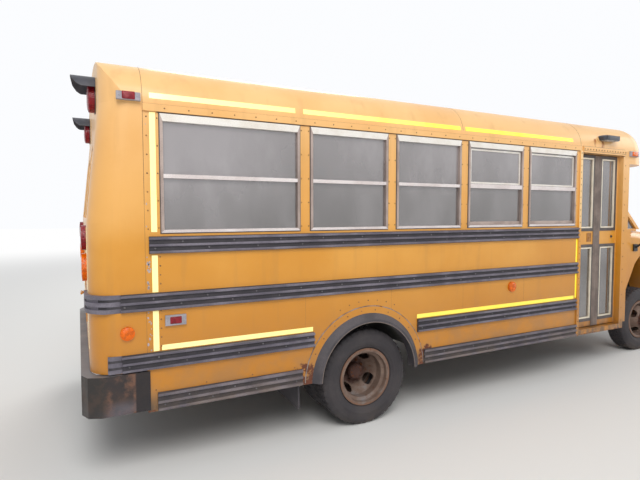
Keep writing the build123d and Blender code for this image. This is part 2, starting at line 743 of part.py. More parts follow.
def tyre(x, centre_y):
    """Tyre with a round-shouldered tread band and bulged sides, open to the rim inside."""
    half = TYRE_WIDTH / 2
    bead = RIM_WIDTH / 2 - RIM_PLATE - RUNNING_GAP
    seat = RIM_R - 16 + RUNNING_GAP
    # radius and distance from the tyre's middle, from the bead out to the crown
    outside = [
        (seat, bead), (RIM_R + 4, bead), (RIM_R + 9, bead + 12), (RIM_R + 34, half - 5),
        (RIM_R + 66, half), (TYRE_R - 50, half - 4), (TYRE_R - 16, half - 22),
        (TYRE_R - 3, half - 38), (TYRE_R, half * 0.3),
    ]
    inside = [(TYRE_R - 28, half - 46), (RIM_R + 62, half - 18), (RIM_R + 10, bead - 22), (seat, bead - 27)]
    half_outline = outside + [(r, -a) for r, a in reversed(outside)]
    rest = [(r, -a) for r, a in reversed(inside)] + inside
    return turned([(r, centre_y + a) for r, a in half_outline + rest], x, WHEEL_Z)


def hub(x, face_y, side, drum):
    """Hub on the spindle: flange between the wheels, nose outside, drum inside if asked."""
    bore = SPINDLE_R + RUNNING_GAP
    outline = [
        (bore, face_y - side * 90), (HUB_R - 32, face_y - side * 90), (HUB_R - 32, face_y + side * 60),
        (HUB_R - 40, face_y + side * 75), (0, face_y + side * 75), (0, face_y - side * (10 - 1)),
        (bore, face_y - side * (10 - 1)),
    ]
    shape = turned(outline, x, WHEEL_Z)
    if drum:
        back = side * (DRUM_Y + 6)
        shape = shape + turned(
            [
                (bore, face_y - side * 90), (DRUM_R, face_y - side * 90), (DRUM_R, back),
                (DRUM_R - 12, back), (DRUM_R - 12, face_y - side * 78 - side * 24),
                (bore, face_y - side * 78 - side * 24),
            ],
            x, WHEEL_Z,
        )
    return shape


def make_wheels():
    for name, side in (("left", 1), ("right", -1)):
        face = side * REAR_FACE_Y
        offset = DUAL_SPACING / 2
        outer = rim(0, face, side, 1)
        inner = rim(0, face, side, -1)
        save("rear_rims_" + name, outer + inner + hub(0, face, side, True))
        save("rear_tyres_" + name, tyre(0, face + side * offset), tyre(0, face - side * offset))

        front_face = side * (FRONT_TYRE_Y + offset)
        save("front_rim_" + name, rim(FRONT_AXLE, front_face, side, -1)
             + hub(FRONT_AXLE, front_face, side, False))
        save("front_tyre_" + name, tyre(FRONT_AXLE, side * FRONT_TYRE_Y))
        save("knuckle_" + name, knuckle(side, front_face))


def knuckle(side, face_y):
    """Steering knuckle: kingpin, yoke, spindle, brake backing plate and steering arm."""
    x = FRONT_AXLE
    pin_y = side * KINGPIN_Y
    yoke = (WHEEL_Z - 90, WHEEL_Z - 65)
    body = rod((x, pin_y, yoke[0]), (x, pin_y, WHEEL_Z + 90), KINGPIN_R)
    reach = sorted((pin_y - side * 30, pin_y + side * 75))
    body = body + block((x - 32, x + 32), reach, yoke)
    body = body + block((x - 32, x + 32), reach, (WHEEL_Z + 65, WHEEL_Z + 90))
    plate = sorted((pin_y + side * 52, pin_y + side * 75))
    body = body + block((x - 32, x + 32), plate, (yoke[0], WHEEL_Z + 90))
    body = body + rod((x, pin_y + side * 60, WHEEL_Z), (x, face_y - side * 10, WHEEL_Z), SPINDLE_R)
    disc_y = pin_y + side * 66
    body = body + rod((x, disc_y, WHEEL_Z), (x, disc_y + side * 9, WHEEL_Z), 150)
    arm = sorted((pin_y - side * 45, pin_y - side * 8))
    body = body + block((x - 180, x - 20), arm, (WHEEL_Z - 90, WHEEL_Z - 65))
    return body


def make_drivetrain():
    engine_x = (FRONT_AXLE - 200, FRONT_AXLE + 430)
    engine = block(engine_x, (-285, 285), (450, 1020))
    tail = FRONT_AXLE - 1112
    gearbox = prism(
        [(tail, 440), (FRONT_AXLE - 200, 420), (FRONT_AXLE - 200, 660), (tail + 400, 660), (tail, 560)],
        "Y", -150, 150,
    )
    mount = block((FRONT_AXLE + 60, FRONT_AXLE + 130),
                  (-RAIL_OUTER + RAIL_PLATE, RAIL_OUTER - RAIL_PLATE), (570, 640))
    shaft = rod((tail, 0, 500), (255, 0, WHEEL_Z + 15), 42)
    save("engine_and_shaft", engine + gearbox + mount + shaft)


def make_tank_and_exhaust():
    tank = fillet(block((-1500, -760), (-310, 310), (300, RAIL_BOTTOM - 8)).edges(), 30)
    for station in (-1350, -910):
        tank = tank + block((station - 25, station + 25), (-400, 400), (RAIL_BOTTOM - 30, RAIL_BOTTOM))
    save("fuel_tank", tank)

    radius = 32.0
    path = FilletPolyline(
        (3500, 300, 400), (2300, 300, 400), (420, 372, 465), (-1350, 372, 465),
        (-1700, 372, 290), (-1935, 372, 290),
        radius=110,
    )
    section = Plane(origin=path @ 0, z_dir=path % 0) * Circle(radius)
    pipe = sweep(section, path=path)
    muffler = rod((1500, 313, 436), (2150, 302, 407), 95)
    pipe = pipe + muffler
    for x, y, z in [(2000, 304, 480), (1600, 310, 500), (-1570, 345, 370)]:
        pipe = pipe + rod((x, y, z), (x, y, FLOOR_BOTTOM), 8)
    save("exhaust", pipe)


# Rear bumper
REAR_BUMPER_BACK = -1960.0
REAR_BUMPER_PLATE = 8.0
REAR_BUMPER_Z = (352.0, 594.0)


def make_rear_bumper():
    def plan(inset, front):
        back = REAR_BUMPER_BACK + inset
        side = HALF_WIDTH + REAR_BUMPER_PLATE - inset
        cut = 110 - inset / 2
        return [
            (front, -side), (back + cut, -side), (back + cut * 0.3, -side + cut * 0.3),
            (back, -side + cut), (back, side - cut), (back + cut * 0.3, side - cut * 0.3),
            (back + cut, side), (front, side),
        ]

    low, high = REAR_BUMPER_Z
    front = REAR_SEAM + 14
    bumper = prism(plan(0, front), "Z", low, high)
    bumper = bumper - prism(plan(REAR_BUMPER_PLATE, front + 5), "Z", low + 8, high - 8)
    bumper = bumper - prism(plan(58, front + 5), "Z", low - 5, high + 5)
    clear = block((REAR_SEAM, front + 10), (-HALF_WIDTH, HALF_WIDTH), (low - 5, high + 5))
    save("rear_bumper", bumper - clear)


def make_front_bumper():
    half = CAB_HALF

    def wire(inset, z):
        front, side, rear = FRONT_END - inset, half - inset, FRONT_END - 210 - inset
        edges = [
            ThreePointArc((front - 70, -side + 60, z), (front, 0, z), (front - 70, side - 60, z)),
            Line((front - 70, side - 60, z), (front - 140, side, z)),
            Line((front - 140, side, z), (rear, side, z)),
            Line((rear, side, z), (rear, -side, z)),
            Line((rear, -side, z), (front - 140, -side, z)),
            Line((front - 140, -side, z), (front - 70, -side + 60, z)),
        ]
        return Wire(edges)

    low, high = 470.0, 690.0
    outer = Solid.extrude(Face(wire(0, low)), Vector(0, 0, high - low))
    inner = Solid.extrude(Face(wire(10, low + 10)), Vector(0, 0, high - low - 20))
    open_back = block((FRONT_END - 300, FRONT_END - 130), (-half + 200, half - 200), (low - 5, high + 5))
    save("front_bumper", outer - inner - open_back)


# Cab: pillars, sides and cowl
ARCH_HALF = 470.0
ARCH_SHOULDER = 570.0
ARCH_TOP_HALF = 200.0
ARCH_TOP = BELT - 311.0
DOOR_FRONT_EDGE = FRONT_AXLE - 344.0
CAB_DOOR_GAP = 8.0
CAB_DOOR_BOTTOM = 512.0
CAB_DOOR_TOP = 2038.0
FENDER_FOOT = FRONT_AXLE - 504.0
FIREWALL = FRONT_AXLE - 337.0
COWL_BOTTOM = BELT - 36.0


def pillar_x(height, behind):
    """Station of a line parallel to the windshield pillar's front edge."""
    return PILLAR_FOOT - behind - (height - BELT) * PILLAR_SLOPE


HEADER_END = round(pillar_x(SHIELD_TOP, 4))


def leaning(shape):
    """Turn an upright left-hand panel above the belt inwards by the tumblehome."""
    axis = Axis((0, CAB_HALF, BELT), (1, 0, 0))
    return shape.rotate(axis, TUMBLE)


def front_arch(grow, low, high, base=SKIRT_BOTTOM - 60):
    """Front wheel arch opening, pushed across the bus and grown outwards by grow."""
    x = FRONT_AXLE
    outline = [
        (x - ARCH_HALF - grow, base), (x - ARCH_HALF - grow, ARCH_SHOULDER),
        (x - ARCH_TOP_HALF - 45 - grow, ARCH_TOP - 80 + grow * 0.5),
        (x - ARCH_TOP_HALF + 45, ARCH_TOP + grow), (x + ARCH_TOP_HALF - 45, ARCH_TOP + grow),
        (x + ARCH_TOP_HALF + 45 + grow, ARCH_TOP - 80 + grow * 0.5),
        (x + ARCH_HALF + grow, ARCH_SHOULDER), (x + ARCH_HALF + grow, base),
    ]
    return prism(outline, "Y", low, high)


def fender_edge(gap):
    """Edge of the front fender from the rocker up to the belt, moved back by gap."""
    slanted = 1.3 * gap
    return [
        (FENDER_FOOT - slanted, CAB_DOOR_BOTTOM + gap),
        (FENDER_FOOT + 37 - slanted, 640),
        (DOOR_FRONT_EDGE - gap, 880 + 0.6 * gap),
        (DOOR_FRONT_EDGE - gap, BELT),
    ]


def door_lower(gap):
    """Outline of the cab door below the belt, shrunk by gap."""
    rear = CAB_REAR + 52 + gap
    return [(rear, CAB_DOOR_BOTTOM + gap)] + fender_edge(gap) + [(rear, BELT)]


def door_upper(gap):
    """Outline of the cab door's window frame above the belt, shrunk by gap."""
    rear, top = CAB_REAR + 52 + gap, CAB_DOOR_TOP - gap
    behind = PILLAR_FOOT - DOOR_FRONT_EDGE + gap
    return [(rear, BELT), (pillar_x(BELT, behind), BELT), (pillar_x(top, behind), top), (rear, top)]


def make_cab_shell():
    inside = CAB_HALF - CAB_WALL
    lower_outline = [(CAB_REAR, CAB_BOTTOM), (FENDER_FOOT, CAB_BOTTOM)] + fender_edge(0)
    lower_outline.append((CAB_REAR, BELT))
    upper_outline = [
        (CAB_REAR, BELT), (PILLAR_FOOT, BELT), (pillar_x(CAP_BOTTOM + 30, 0), CAP_BOTTOM + 30),
        (CAB_REAR, CAP_BOTTOM + 30),
    ]
    lower = prism(lower_outline, "Y", inside, CAB_HALF)
    lower = lower - prism(door_lower(0), "Y", inside - 1, CAB_HALF + 1)
    upper = prism(upper_outline, "Y", inside, CAB_HALF)
    upper = upper - prism(door_upper(0), "Y", inside - 1, CAB_HALF + 1)
    below_belt = block((DOOR_FRONT_EDGE, PILLAR_FOOT + 50), (0, HALF_WIDTH), (BELT - 60, BELT))
    left = lower + (leaning(upper) - below_belt)

    filler_outline = [(BODY_FRONT, CAB_BOTTOM), (FENDER_FOOT, CAB_BOTTOM)] + fender_edge(0)
    filler_outline.append((BODY_FRONT, BELT))
    filler = prism(filler_outline, "Y", inside, CAB_HALF)
    quarter = prism(
        [(BODY_FRONT, BELT), (PILLAR_FOOT, BELT), (pillar_x(CAP_BOTTOM + 30, 0), CAP_BOTTOM + 30),
         (BODY_FRONT, CAP_BOTTOM + 30)],
        "Y", inside, CAB_HALF,
    )
    quarter = quarter - prism(quarter_outline(), "Y", inside - 1, CAB_HALF + 1)
    right = mirror(filler + (leaning(quarter) - below_belt), about=Plane.XZ)
    post_return = block((BODY_FRONT, BODY_FRONT + 40), (-HALF_WIDTH, -inside), (CAB_BOTTOM, CAP_BOTTOM))

    end_x, middle_x, back_x = HEADER_END, HEADER_END + 90, HEADER_END - 60
    header = Solid.extrude(Face(Wire([
        ThreePointArc((end_x, -870, SHIELD_TOP), (middle_x, 0, SHIELD_TOP), (end_x, 870, SHIELD_TOP)),
        Line((end_x, 870, SHIELD_TOP), (back_x, 870, SHIELD_TOP)),
        Line((back_x, 870, SHIELD_TOP), (back_x, -870, SHIELD_TOP)),
        Line((back_x, -870, SHIELD_TOP), (end_x, -870, SHIELD_TOP)),
    ])), Vector(0, 0, CAP_BOTTOM - SHIELD_TOP))
    under_cap = block((CAB_REAR - 10, PILLAR_FOOT), (-HALF_WIDTH, HALF_WIDTH), (CAP_BOTTOM, CAP_BOTTOM + 99))

    cowl_front = FRONT_AXLE - COWL_TO_AXLE - CAB_DOOR_GAP + 0.7
    cowl_rear = DOOR_FRONT_EDGE + 7
    cowl_ends = [(x, fender_inner(x)) for x in (cowl_rear, cowl_front)]
    cowl = prism(cowl_ends + [(x, -y) for x, y in reversed(cowl_ends)], "Z", COWL_BOTTOM, BELT)
    shell = (left + right + post_return + header) - under_cap
    save("cab_shell", shell, cowl)


def quarter_outline():
    """Three-cornered window ahead of the entrance on the right."""
    rear, low = BODY_FRONT + 60, BELT + 9
    behind = 55
    top = BELT + (PILLAR_FOOT - behind - rear) / PILLAR_SLOPE
    return [(rear, low), (pillar_x(low, behind), low), (rear, top)]


def quarter_glass():
    inset = CAB_HALF - 20
    pane = prism(quarter_outline(), "Y", inset - 6, inset)
    return mirror(leaning(pane), about=Plane.XZ)


def make_windshield():
    """Curved glass between the pillars, leaning back from the cowl to the header."""
    def crescent(z, side_y, side_x, middle_x, thickness):
        edges = [
            ThreePointArc((side_x, -side_y, z), (middle_x, 0, z), (side_x, side_y, z)),
            Line((side_x, side_y, z), (side_x - thickness, side_y, z)),
            ThreePointArc((side_x - thickness, side_y, z), (middle_x - thickness, 0, z),
                          (side_x - thickness, -side_y, z)),
            Line((side_x - thickness, -side_y, z), (side_x, -side_y, z)),
        ]
        return Wire(edges)

    inside = CAB_HALF - CAB_WALL
    lean = tan(radians(TUMBLE)) * (SHIELD_TOP - BELT)
    foot = crescent(BELT, inside - 8, PILLAR_FOOT - 12, FRONT_AXLE - 36, 9)
    head = crescent(SHIELD_TOP, inside - lean - 8, pillar_x(SHIELD_TOP, 12), HEADER_END + 75, 9)
    return Solid.make_loft([foot, head], ruled=True)


def fender_inner(x):
    """Half width of the fender's inner top edge beside the cowl."""
    share = (x - DOOR_FRONT_EDGE) / (FRONT_AXLE - COWL_TO_AXLE - DOOR_FRONT_EDGE)
    return FENDER_REAR_INNER + share * (HOOD_REAR_HALF + CAB_DOOR_GAP - FENDER_REAR_INNER)


def make_fenders():
    # station, outer half width, height of the top edge, inner half width of the top edge
    rows = [
        (DOOR_FRONT_EDGE, CAB_HALF, BELT, FENDER_REAR_INNER),
        (FRONT_AXLE - COWL_TO_AXLE, CAB_HALF, COWL_BOTTOM, HOOD_REAR_HALF + CAB_DOOR_GAP),
        (FRONT_AXLE + 390, CAB_HALF, HOOD_MID_Z, HOOD_MID_HALF + CAB_DOOR_GAP),
        (NOSE_BACK, CAB_HALF - 36, BELT - 223, HOOD_FRONT_HALF + 12),
    ]
    thickness = 30

    def section(x, outer, top, inner):
        shoulder = top - 95
        bulge = (outer - 30, top - 32)
        return Wire([
            Line((x, outer, CAB_BOTTOM), (x, outer, shoulder)),
            ThreePointArc((x, outer, shoulder), (x, *bulge), (x, inner, top)),
            Line((x, inner, top), (x, inner, top - thickness)),
            ThreePointArc((x, inner, top - thickness), (x, bulge[0] - 20, bulge[1] - 22),
                          (x, outer - thickness, shoulder)),
            Line((x, outer - thickness, shoulder), (x, outer - thickness, CAB_BOTTOM)),
            Line((x, outer - thickness, CAB_BOTTOM), (x, outer, CAB_BOTTOM)),
        ])

    fender = Solid.make_loft([section(*row) for row in rows], ruled=True)
    foot = [(FENDER_FOOT, CAB_BOTTOM), (DOOR_FRONT_EDGE, CAB_BOTTOM)] + fender_edge(0)[2:0:-1]
    foot.append(fender_edge(0)[0])
    fender = fender + prism(foot, "Y", CAB_HALF - thickness, CAB_HALF)
    liner = front_arch(12, 560, CAB_HALF - thickness, CAB_BOTTOM)
    fender = fender + (liner - front_arch(0, 550, CAB_HALF, CAB_BOTTOM - 10))
    fender = fender - front_arch(0, 500, CAB_HALF + 50)
    behind_bumper = (FRONT_AXLE + ARCH_HALF + 32, FRONT_END)
    fender = fender - block(behind_bumper, (500, CAB_HALF + 50), (SKIRT_BOTTOM, NOSE_BOTTOM))
    save("front_fenders", *both_sides(fender))


HOOD_REAR_HALF = 870.0
HOOD_MID_HALF = 850.0
HOOD_FRONT_HALF = 815.0
HOOD_THICKNESS = 22.0
FENDER_REAR_INNER = 900.0
NOSE_BACK = FRONT_AXLE + 587.0
NOSE_BOTTOM = 735.0
NOSE_TOP = BELT - 268.0
HOOD_MID_Z = BELT - 109.0


def make_hood():
    # station, half width, height at the side, rise to the middle
    rows = [
        (FRONT_AXLE - COWL_TO_AXLE, HOOD_REAR_HALF, COWL_BOTTOM, 28),
        (FRONT_AXLE + 390, HOOD_MID_HALF, HOOD_MID_Z, 34),
        (FRONT_AXLE + 627, HOOD_FRONT_HALF, NOSE_TOP + HOOD_THICKNESS + 2, 10),
    ]

    def section(x, half, side_z, rise):
        t = HOOD_THICKNESS
        return Wire([
            ThreePointArc((x, -half, side_z), (x, 0, side_z + rise), (x, half, side_z)),
            Line((x, half, side_z), (x, half, side_z - t)),
            ThreePointArc((x, half, side_z - t), (x, 0, side_z + rise - t), (x, -half, side_z - t)),
            Line((x, -half, side_z - t), (x, -half, side_z)),
        ])

    hood = Solid.make_loft([section(*row) for row in rows], ruled=True)
    barrel_x = FRONT_AXLE - COWL_TO_AXLE
    for low, high in [(-300, -220), (220, 300)]:
        hood = hood + rod((barrel_x, low, HOOD_HINGE_Z), (barrel_x, high, HOOD_HINGE_Z), 7)
    save("hood", hood)


HOOD_HINGE_Z = BELT - 11.0


def make_nose():
    """Front panel with the grille bars, and lamps that fill its openings."""
    half = CAB_HALF - 45
    back = NOSE_BACK + 40
    low, high = NOSE_BOTTOM, NOSE_TOP

    def slab(push, z):
        return Wire([
            ThreePointArc((back + push, -half, z), (back + push + 62, 0, z), (back + push, half, z)),
            Line((back + push, half, z), (back + push - 40, half, z)),
            ThreePointArc((back + push - 40, half, z), (back + push + 22, 0, z), (back + push - 40, -half, z)),
            Line((back + push - 40, -half, z), (back + push, -half, z)),
        ])

    panel = Solid.extrude(Face(slab(0, low)), Vector(0, 0, high - low))
    cut = (back - 200, back + 200)
    panel = panel - block(cut, (-540, 540), (800, 1050))
    lamp_hole = block(cut, (610, 880), (845, 1050))
    for hole in both_sides(lamp_hole):
        panel = panel - hole
    bar_form = Solid.extrude(Face(slab(-10, low)), Vector(0, 0, high - low))
    for z in (850, 905, 960, 1015):
        panel = panel + (bar_form & block(cut, (-545, 545), (z - 9, z + 9)))
    save("grille", panel)
    lens_form = Solid.extrude(Face(slab(-4, low)), Vector(0, 0, high - low))
    return [lens_form & hole for hole in both_sides(lamp_hole)]


def make_lamps(headlamps):
    """Warning lamps with visors, and the lamps and reflectors all round."""
    warning = []
    for y in (-WARNING_Y, WARNING_Y):
        warning.append(warning_lamp(REAR_WALL_TOP, y, WARNING_Z, -1))
        warning.append(warning_lamp(CAP_FRONT + 6, y, WARNING_Z - 60, 1))

    small = list(headlamps)
    # station and height of the centre, half length, half height, how far proud
    side_rows = [
        (-1674, 2236, 66, 23, 26),
        (-1427, 895, 63, 32, 16),
    ]
    for x, z, half_x, half_z, proud in side_rows:
        small += both_sides(block((x - half_x, x + half_x), (HALF_WIDTH - 12, HALF_WIDTH + proud),
                                  (z - half_z, z + half_z))
                            - body_form(-3000, 3000, 0, 0))
    for x, z, radius in [(1519, 895, 45), (-1707, 839, 41)]:
        small += both_sides(rod((x, HALF_WIDTH, z), (x, HALF_WIDTH + 14, z), radius))
    for y, z, radius in [(820, 1210, 90), (820, 1400, 80)]:
        small += both_sides(rod((REAR_WALL, y, z), (REAR_WALL - 28, y, z), radius))
    door_lamp = block((2760, 2960), (-HALF_WIDTH - 60, -HALF_WIDTH + 40), (2290, 2330))
    small.append(door_lamp - body_form(2000, 3300, 0, 0))
    save("lamps", *warning, *small)


def warning_lamp(face, y, z, way):
    """Round lamp with a hood that reaches out furthest above."""
    base = rod((face, y, z), (face + way * 18, y, z), WARNING_LENS_R + 5)
    upper = block(sorted((face - way, face + way * 200)), (y - 200, y + 200), (z - 10, z + 200))
    base = base + (rod((face, y, z), (face + way * 18, y, z), VISOR_R) & upper)
    lens = rod((face + way * 18, y, z), (face + way * LENS_RIM, y, z), WARNING_LENS_R)
    lens = lens + Solid.make_cone(WARNING_LENS_R, WARNING_LENS_R - 22, LENS_CROWN,
                                  Plane(origin=(face + way * LENS_RIM, y, z), z_dir=(way, 0, 0)))
    hood = rod((face, y, z), (face + way * VISOR_LENGTH, y, z), VISOR_R)
    hood = hood - rod((face - way, y, z), (face + way * (VISOR_LENGTH + 1), y, z), VISOR_R - 6)
    cut = prism(
        [(face + way * 20, z - VISOR_R - 5), (face + way * 200, z - VISOR_R - 5),
         (face + way * 200, z + VISOR_R), (face + way * VISOR_LENGTH, z + VISOR_R * 0.75),
         (face + way * 50, z), (face + way * 20, z - VISOR_R * 0.1)],
        "Y", y - 200, y + 200,
    )
    return base + lens + ((hood - cut) & upper)


def make_entrance():
    width = (ENTRANCE - 2 * HINGE_GAP - LEAF_GAP) / 2
    outer = -HALF_WIDTH + LEAF_RECESS
    inner = outer + LEAF_THICKNESS
    low, high = ENTRANCE_BOTTOM + HINGE_GAP, ENTRANCE_TOP - HINGE_GAP
    # name, hinge station, way towards the other leaf
    for name, hinge_x, way in (("rear", DOOR_REAR + HINGE_GAP, 1), ("front", DOOR_FRONT - HINGE_GAP, -1)):
        far = hinge_x + way * width
        leaf = block(sorted((hinge_x, far)), (outer, inner), (low, high))
        panes = []
        for pane_low, pane_high in LEAF_PANES_Z:
            light_x = sorted((hinge_x + way * 45, far - way * 62))
            leaf = leaf - block(light_x, (outer - 5, inner + 5), (pane_low, pane_high))
            panes.append(block(light_x, (outer + 13, outer + 19), (pane_low, pane_high)))
        barrel_r = HINGE_GAP - RUNNING_GAP
        leaf = leaf + rod((hinge_x, outer, low), (hinge_x, outer, high), barrel_r)
        save("entrance_leaf_" + name, leaf)
        save("entrance_glass_" + name, *panes)


def make_cab_door():
    inside = CAB_HALF - CAB_WALL
    lower = prism(door_lower(CAB_DOOR_GAP), "Y", inside, CAB_HALF)
    frame = prism(door_upper(CAB_DOOR_GAP), "Y", inside, CAB_HALF)
    light = [
        (CAB_REAR + 115, BELT + 25),
        (pillar_x(BELT + 25, PILLAR_FOOT - DOOR_FRONT_EDGE + 70), BELT + 25),
        (pillar_x(CAB_DOOR_TOP - 60, PILLAR_FOOT - DOOR_FRONT_EDGE + 70), CAB_DOOR_TOP - 60),
        (CAB_REAR + 115, CAB_DOOR_TOP - 60),
    ]
    frame = frame - prism(light, "Y", inside - 5, CAB_HALF + 5)
    glass = leaning(prism(light, "Y", CAB_HALF - 24, CAB_HALF - 18))
    door = lower + leaning(frame)
    hinge_x = DOOR_FRONT_EDGE - CAB_DOOR_GAP
    for low in (900, 1180):
        door = door + rod((hinge_x, CAB_HALF, low), (hinge_x, CAB_HALF, low + 70),
                          CAB_DOOR_GAP - RUNNING_GAP)
    handle = block((CAB_REAR + 100, CAB_REAR + 230), (CAB_HALF, CAB_HALF + 18), (1210, 1240))
    save("driver_door", door + handle)
    save("driver_door_glass", glass)


# Steering wheel: centre, way from the driver to the dashboard, radius and depth of the hub
STEERING_HUB = (FIREWALL - 285, 480.0, BELT - 81)
STEERING_WAY = (0.722, 0, -0.692)
STEERING_R = 195.0
DASH_BOTTOM = BELT - 261.0
STEERING_HUB_LENGTH = 34.0


def make_cab_inside():
    """Firewall, engine cover, and dashboard with the steering column."""
    inside = CAB_HALF - CAB_WALL
    firewall = prism(
        [(CAB_FLOOR_FRONT, FLOOR_BOTTOM), (CAB_FLOOR_FRONT + 30, FLOOR_BOTTOM),
         (FIREWALL + 25, DASH_BOTTOM - 10), (FIREWALL + 25, COWL_BOTTOM), (FIREWALL, COWL_BOTTOM),
         (FIREWALL, DASH_BOTTOM), (CAB_FLOOR_FRONT, FLOOR_TOP + 30)],
        "Y", -inside + 30, inside - 30,
    )
    cover = prism(
        [(FIREWALL - 555, FLOOR_TOP), (CAB_FLOOR_FRONT, FLOOR_TOP), (FIREWALL, DASH_BOTTOM),
         (FIREWALL, DASH_BOTTOM + 40), (FIREWALL - 415, BELT - 291), (FIREWALL - 525, BELT - 391)],
        "Y", -280, 280,
    )
    dash = prism(
        [(FIREWALL, DASH_BOTTOM), (FIREWALL - 115, DASH_BOTTOM + 10), (FIREWALL - 235, BELT - 191),
         (FIREWALL - 255, BELT - 101), (FIREWALL - 175, BELT - 51), (FIREWALL, COWL_BOTTOM)],
        "Y", -inside + 40, inside - 40,
    )
    hub_end = STEERING_HUB_LENGTH + RUNNING_GAP
    column_start = [c + way * hub_end for c, way in zip(STEERING_HUB, STEERING_WAY)]
    column_end = [c + way * (hub_end + 150) for c, way in zip(STEERING_HUB, STEERING_WAY)]
    dash = dash + rod(column_start, column_end, 26)
    save("cab_interior", firewall + cover, dash)


SEAT_INNER = 190.0
BENCH_ROWS = 5
BENCH_PITCH = 737.0
FIRST_BENCH = WINDOW_START - 28
BENCH_BASE = 1030.0
DRIVER_SEAT = FRONT_AXLE - 1212
DRIVER_SEAT_BASE = BELT - 451.0


def make_seats():
    """Benches along both sides, and the driver's seat."""
    lean = 95.0
    outline = [
        (0, BENCH_BASE), (430, 1045), (445, 1100), (425, 1165), (60, 1150), (60 - lean, 1740),
        (10 - lean, 1765), (-60 - lean, 1755), (-75 - lean, 1700), (-50, 1060),
    ]
    benches = []
    for index in range(BENCH_ROWS):
        station = FIRST_BENCH + BENCH_PITCH * index
        shape = prism([(station + a, b) for a, b in outline], "Y", SEAT_INNER, INNER)
        for leg in (40, 330):
            leg_x = (station + leg, station + leg + 40)
            shape = shape + block(leg_x, (SEAT_INNER + 20, SEAT_INNER + 60), (FLOOR_TOP, 1060))
        benches += both_sides(shape)
    x = DRIVER_SEAT
    seat = prism([(x + a * 1.1, b - BENCH_BASE + DRIVER_SEAT_BASE) for a, b in outline], "Y", 300, 780)
    seat = seat + block((x + 90, x + 380), (400, 680), (FLOOR_TOP, DRIVER_SEAT_BASE + 20))
    save("seats", *benches, seat)


def make_steering_wheel():
    x, y, z = STEERING_HUB
    plane = Plane(origin=(x, y, z), z_dir=STEERING_WAY)
    ring = plane * Torus(STEERING_R, 14)
    wheel = ring + Solid.make_cylinder(48, STEERING_HUB_LENGTH, plane)
    spoke_axis = Axis((0, 0, 0), STEERING_WAY)
    for angle in (90, 210, 330):
        reach = plane.x_dir.rotate(spoke_axis, angle) * STEERING_R
        middle = Vector(x, y, z)
        wheel = wheel + rod(tuple(middle), tuple(middle + reach), 10)
    save("steering_wheel", wheel)


MIRROR_STATION = FRONT_AXLE - 262
MIRROR_ARM_R = 11.0


def make_mirrors():
    x = MIRROR_STATION
    head = block((x - 25, x + 25), (1165, 1335), (BELT + 109, BELT + 419))
    head = fillet(head.edges(), 18)
    convex = block((x - 25, x + 25), (1175, 1325), (BELT - 41, BELT + 79))
    convex = fillet(convex.edges(), 18)
    plate = block((x - 35, x + 35), (CAB_HALF, CAB_HALF + 16), (BELT - 251, BELT - 171))
    arm = rod((x, CAB_HALF + 12, BELT - 211), (x, 1240, BELT - 31), MIRROR_ARM_R)
    upright = rod((x, 1240, BELT - 41), (x, 1240, BELT + 129), MIRROR_ARM_R)
    mirror_set = head + convex + plate + arm + upright
    save("mirrors", *both_sides(mirror_set))


make_side_walls()
make_roof()
make_windows(make_rear())
make_front_cap()
make_trim()
make_arch_rubber()
make_floor()
make_chassis()
make_axles()
make_wheels()
make_drivetrain()
make_tank_and_exhaust()
make_rear_bumper()
make_front_bumper()
make_cab_shell()
make_fenders()
make_hood()
make_lamps(make_nose())
make_entrance()
make_cab_door()
make_cab_inside()
make_seats()
make_steering_wheel()
make_mirrors()
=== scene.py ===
"""Looks of the small school bus: finishes, fastenings, tape, tread, seats, lamps, light and camera."""
import json
import random
from math import acos, atan2, cos, pi, radians, sin, tau

import bmesh
import bpy
from mathutils import Matrix, Vector


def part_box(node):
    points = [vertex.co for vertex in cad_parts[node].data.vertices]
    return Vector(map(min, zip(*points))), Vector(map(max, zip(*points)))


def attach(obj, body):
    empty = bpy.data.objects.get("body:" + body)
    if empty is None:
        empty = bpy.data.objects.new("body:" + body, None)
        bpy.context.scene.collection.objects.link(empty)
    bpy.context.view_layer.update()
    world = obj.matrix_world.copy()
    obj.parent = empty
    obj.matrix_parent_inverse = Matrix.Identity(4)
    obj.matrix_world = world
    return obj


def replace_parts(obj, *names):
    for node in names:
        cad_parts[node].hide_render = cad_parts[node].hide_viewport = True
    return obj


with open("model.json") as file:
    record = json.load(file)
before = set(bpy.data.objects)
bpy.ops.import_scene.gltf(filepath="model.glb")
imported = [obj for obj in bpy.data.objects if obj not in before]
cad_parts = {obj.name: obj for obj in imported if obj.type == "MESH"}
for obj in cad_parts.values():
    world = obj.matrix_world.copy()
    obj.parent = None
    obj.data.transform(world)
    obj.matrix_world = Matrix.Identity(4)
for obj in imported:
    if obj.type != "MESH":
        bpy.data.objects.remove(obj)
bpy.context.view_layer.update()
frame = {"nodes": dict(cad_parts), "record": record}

NODES = frame["nodes"]
BUS = "bus"


# Places that the frame gives, in metres. Heights are counted from the same datum level above
# the ground as in the solids; piece() lifts what is made here.
SKIRT = 0.335
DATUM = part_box("side_wall_right")[0].z - SKIRT


def box(node):
    """Low and high corner of a node, heights counted from the datum."""
    return [Vector((x, y, z - DATUM)) for x, y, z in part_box(node)]


def middle(node, axis):
    low, high = box(node)
    return (low[axis] + high[axis]) / 2


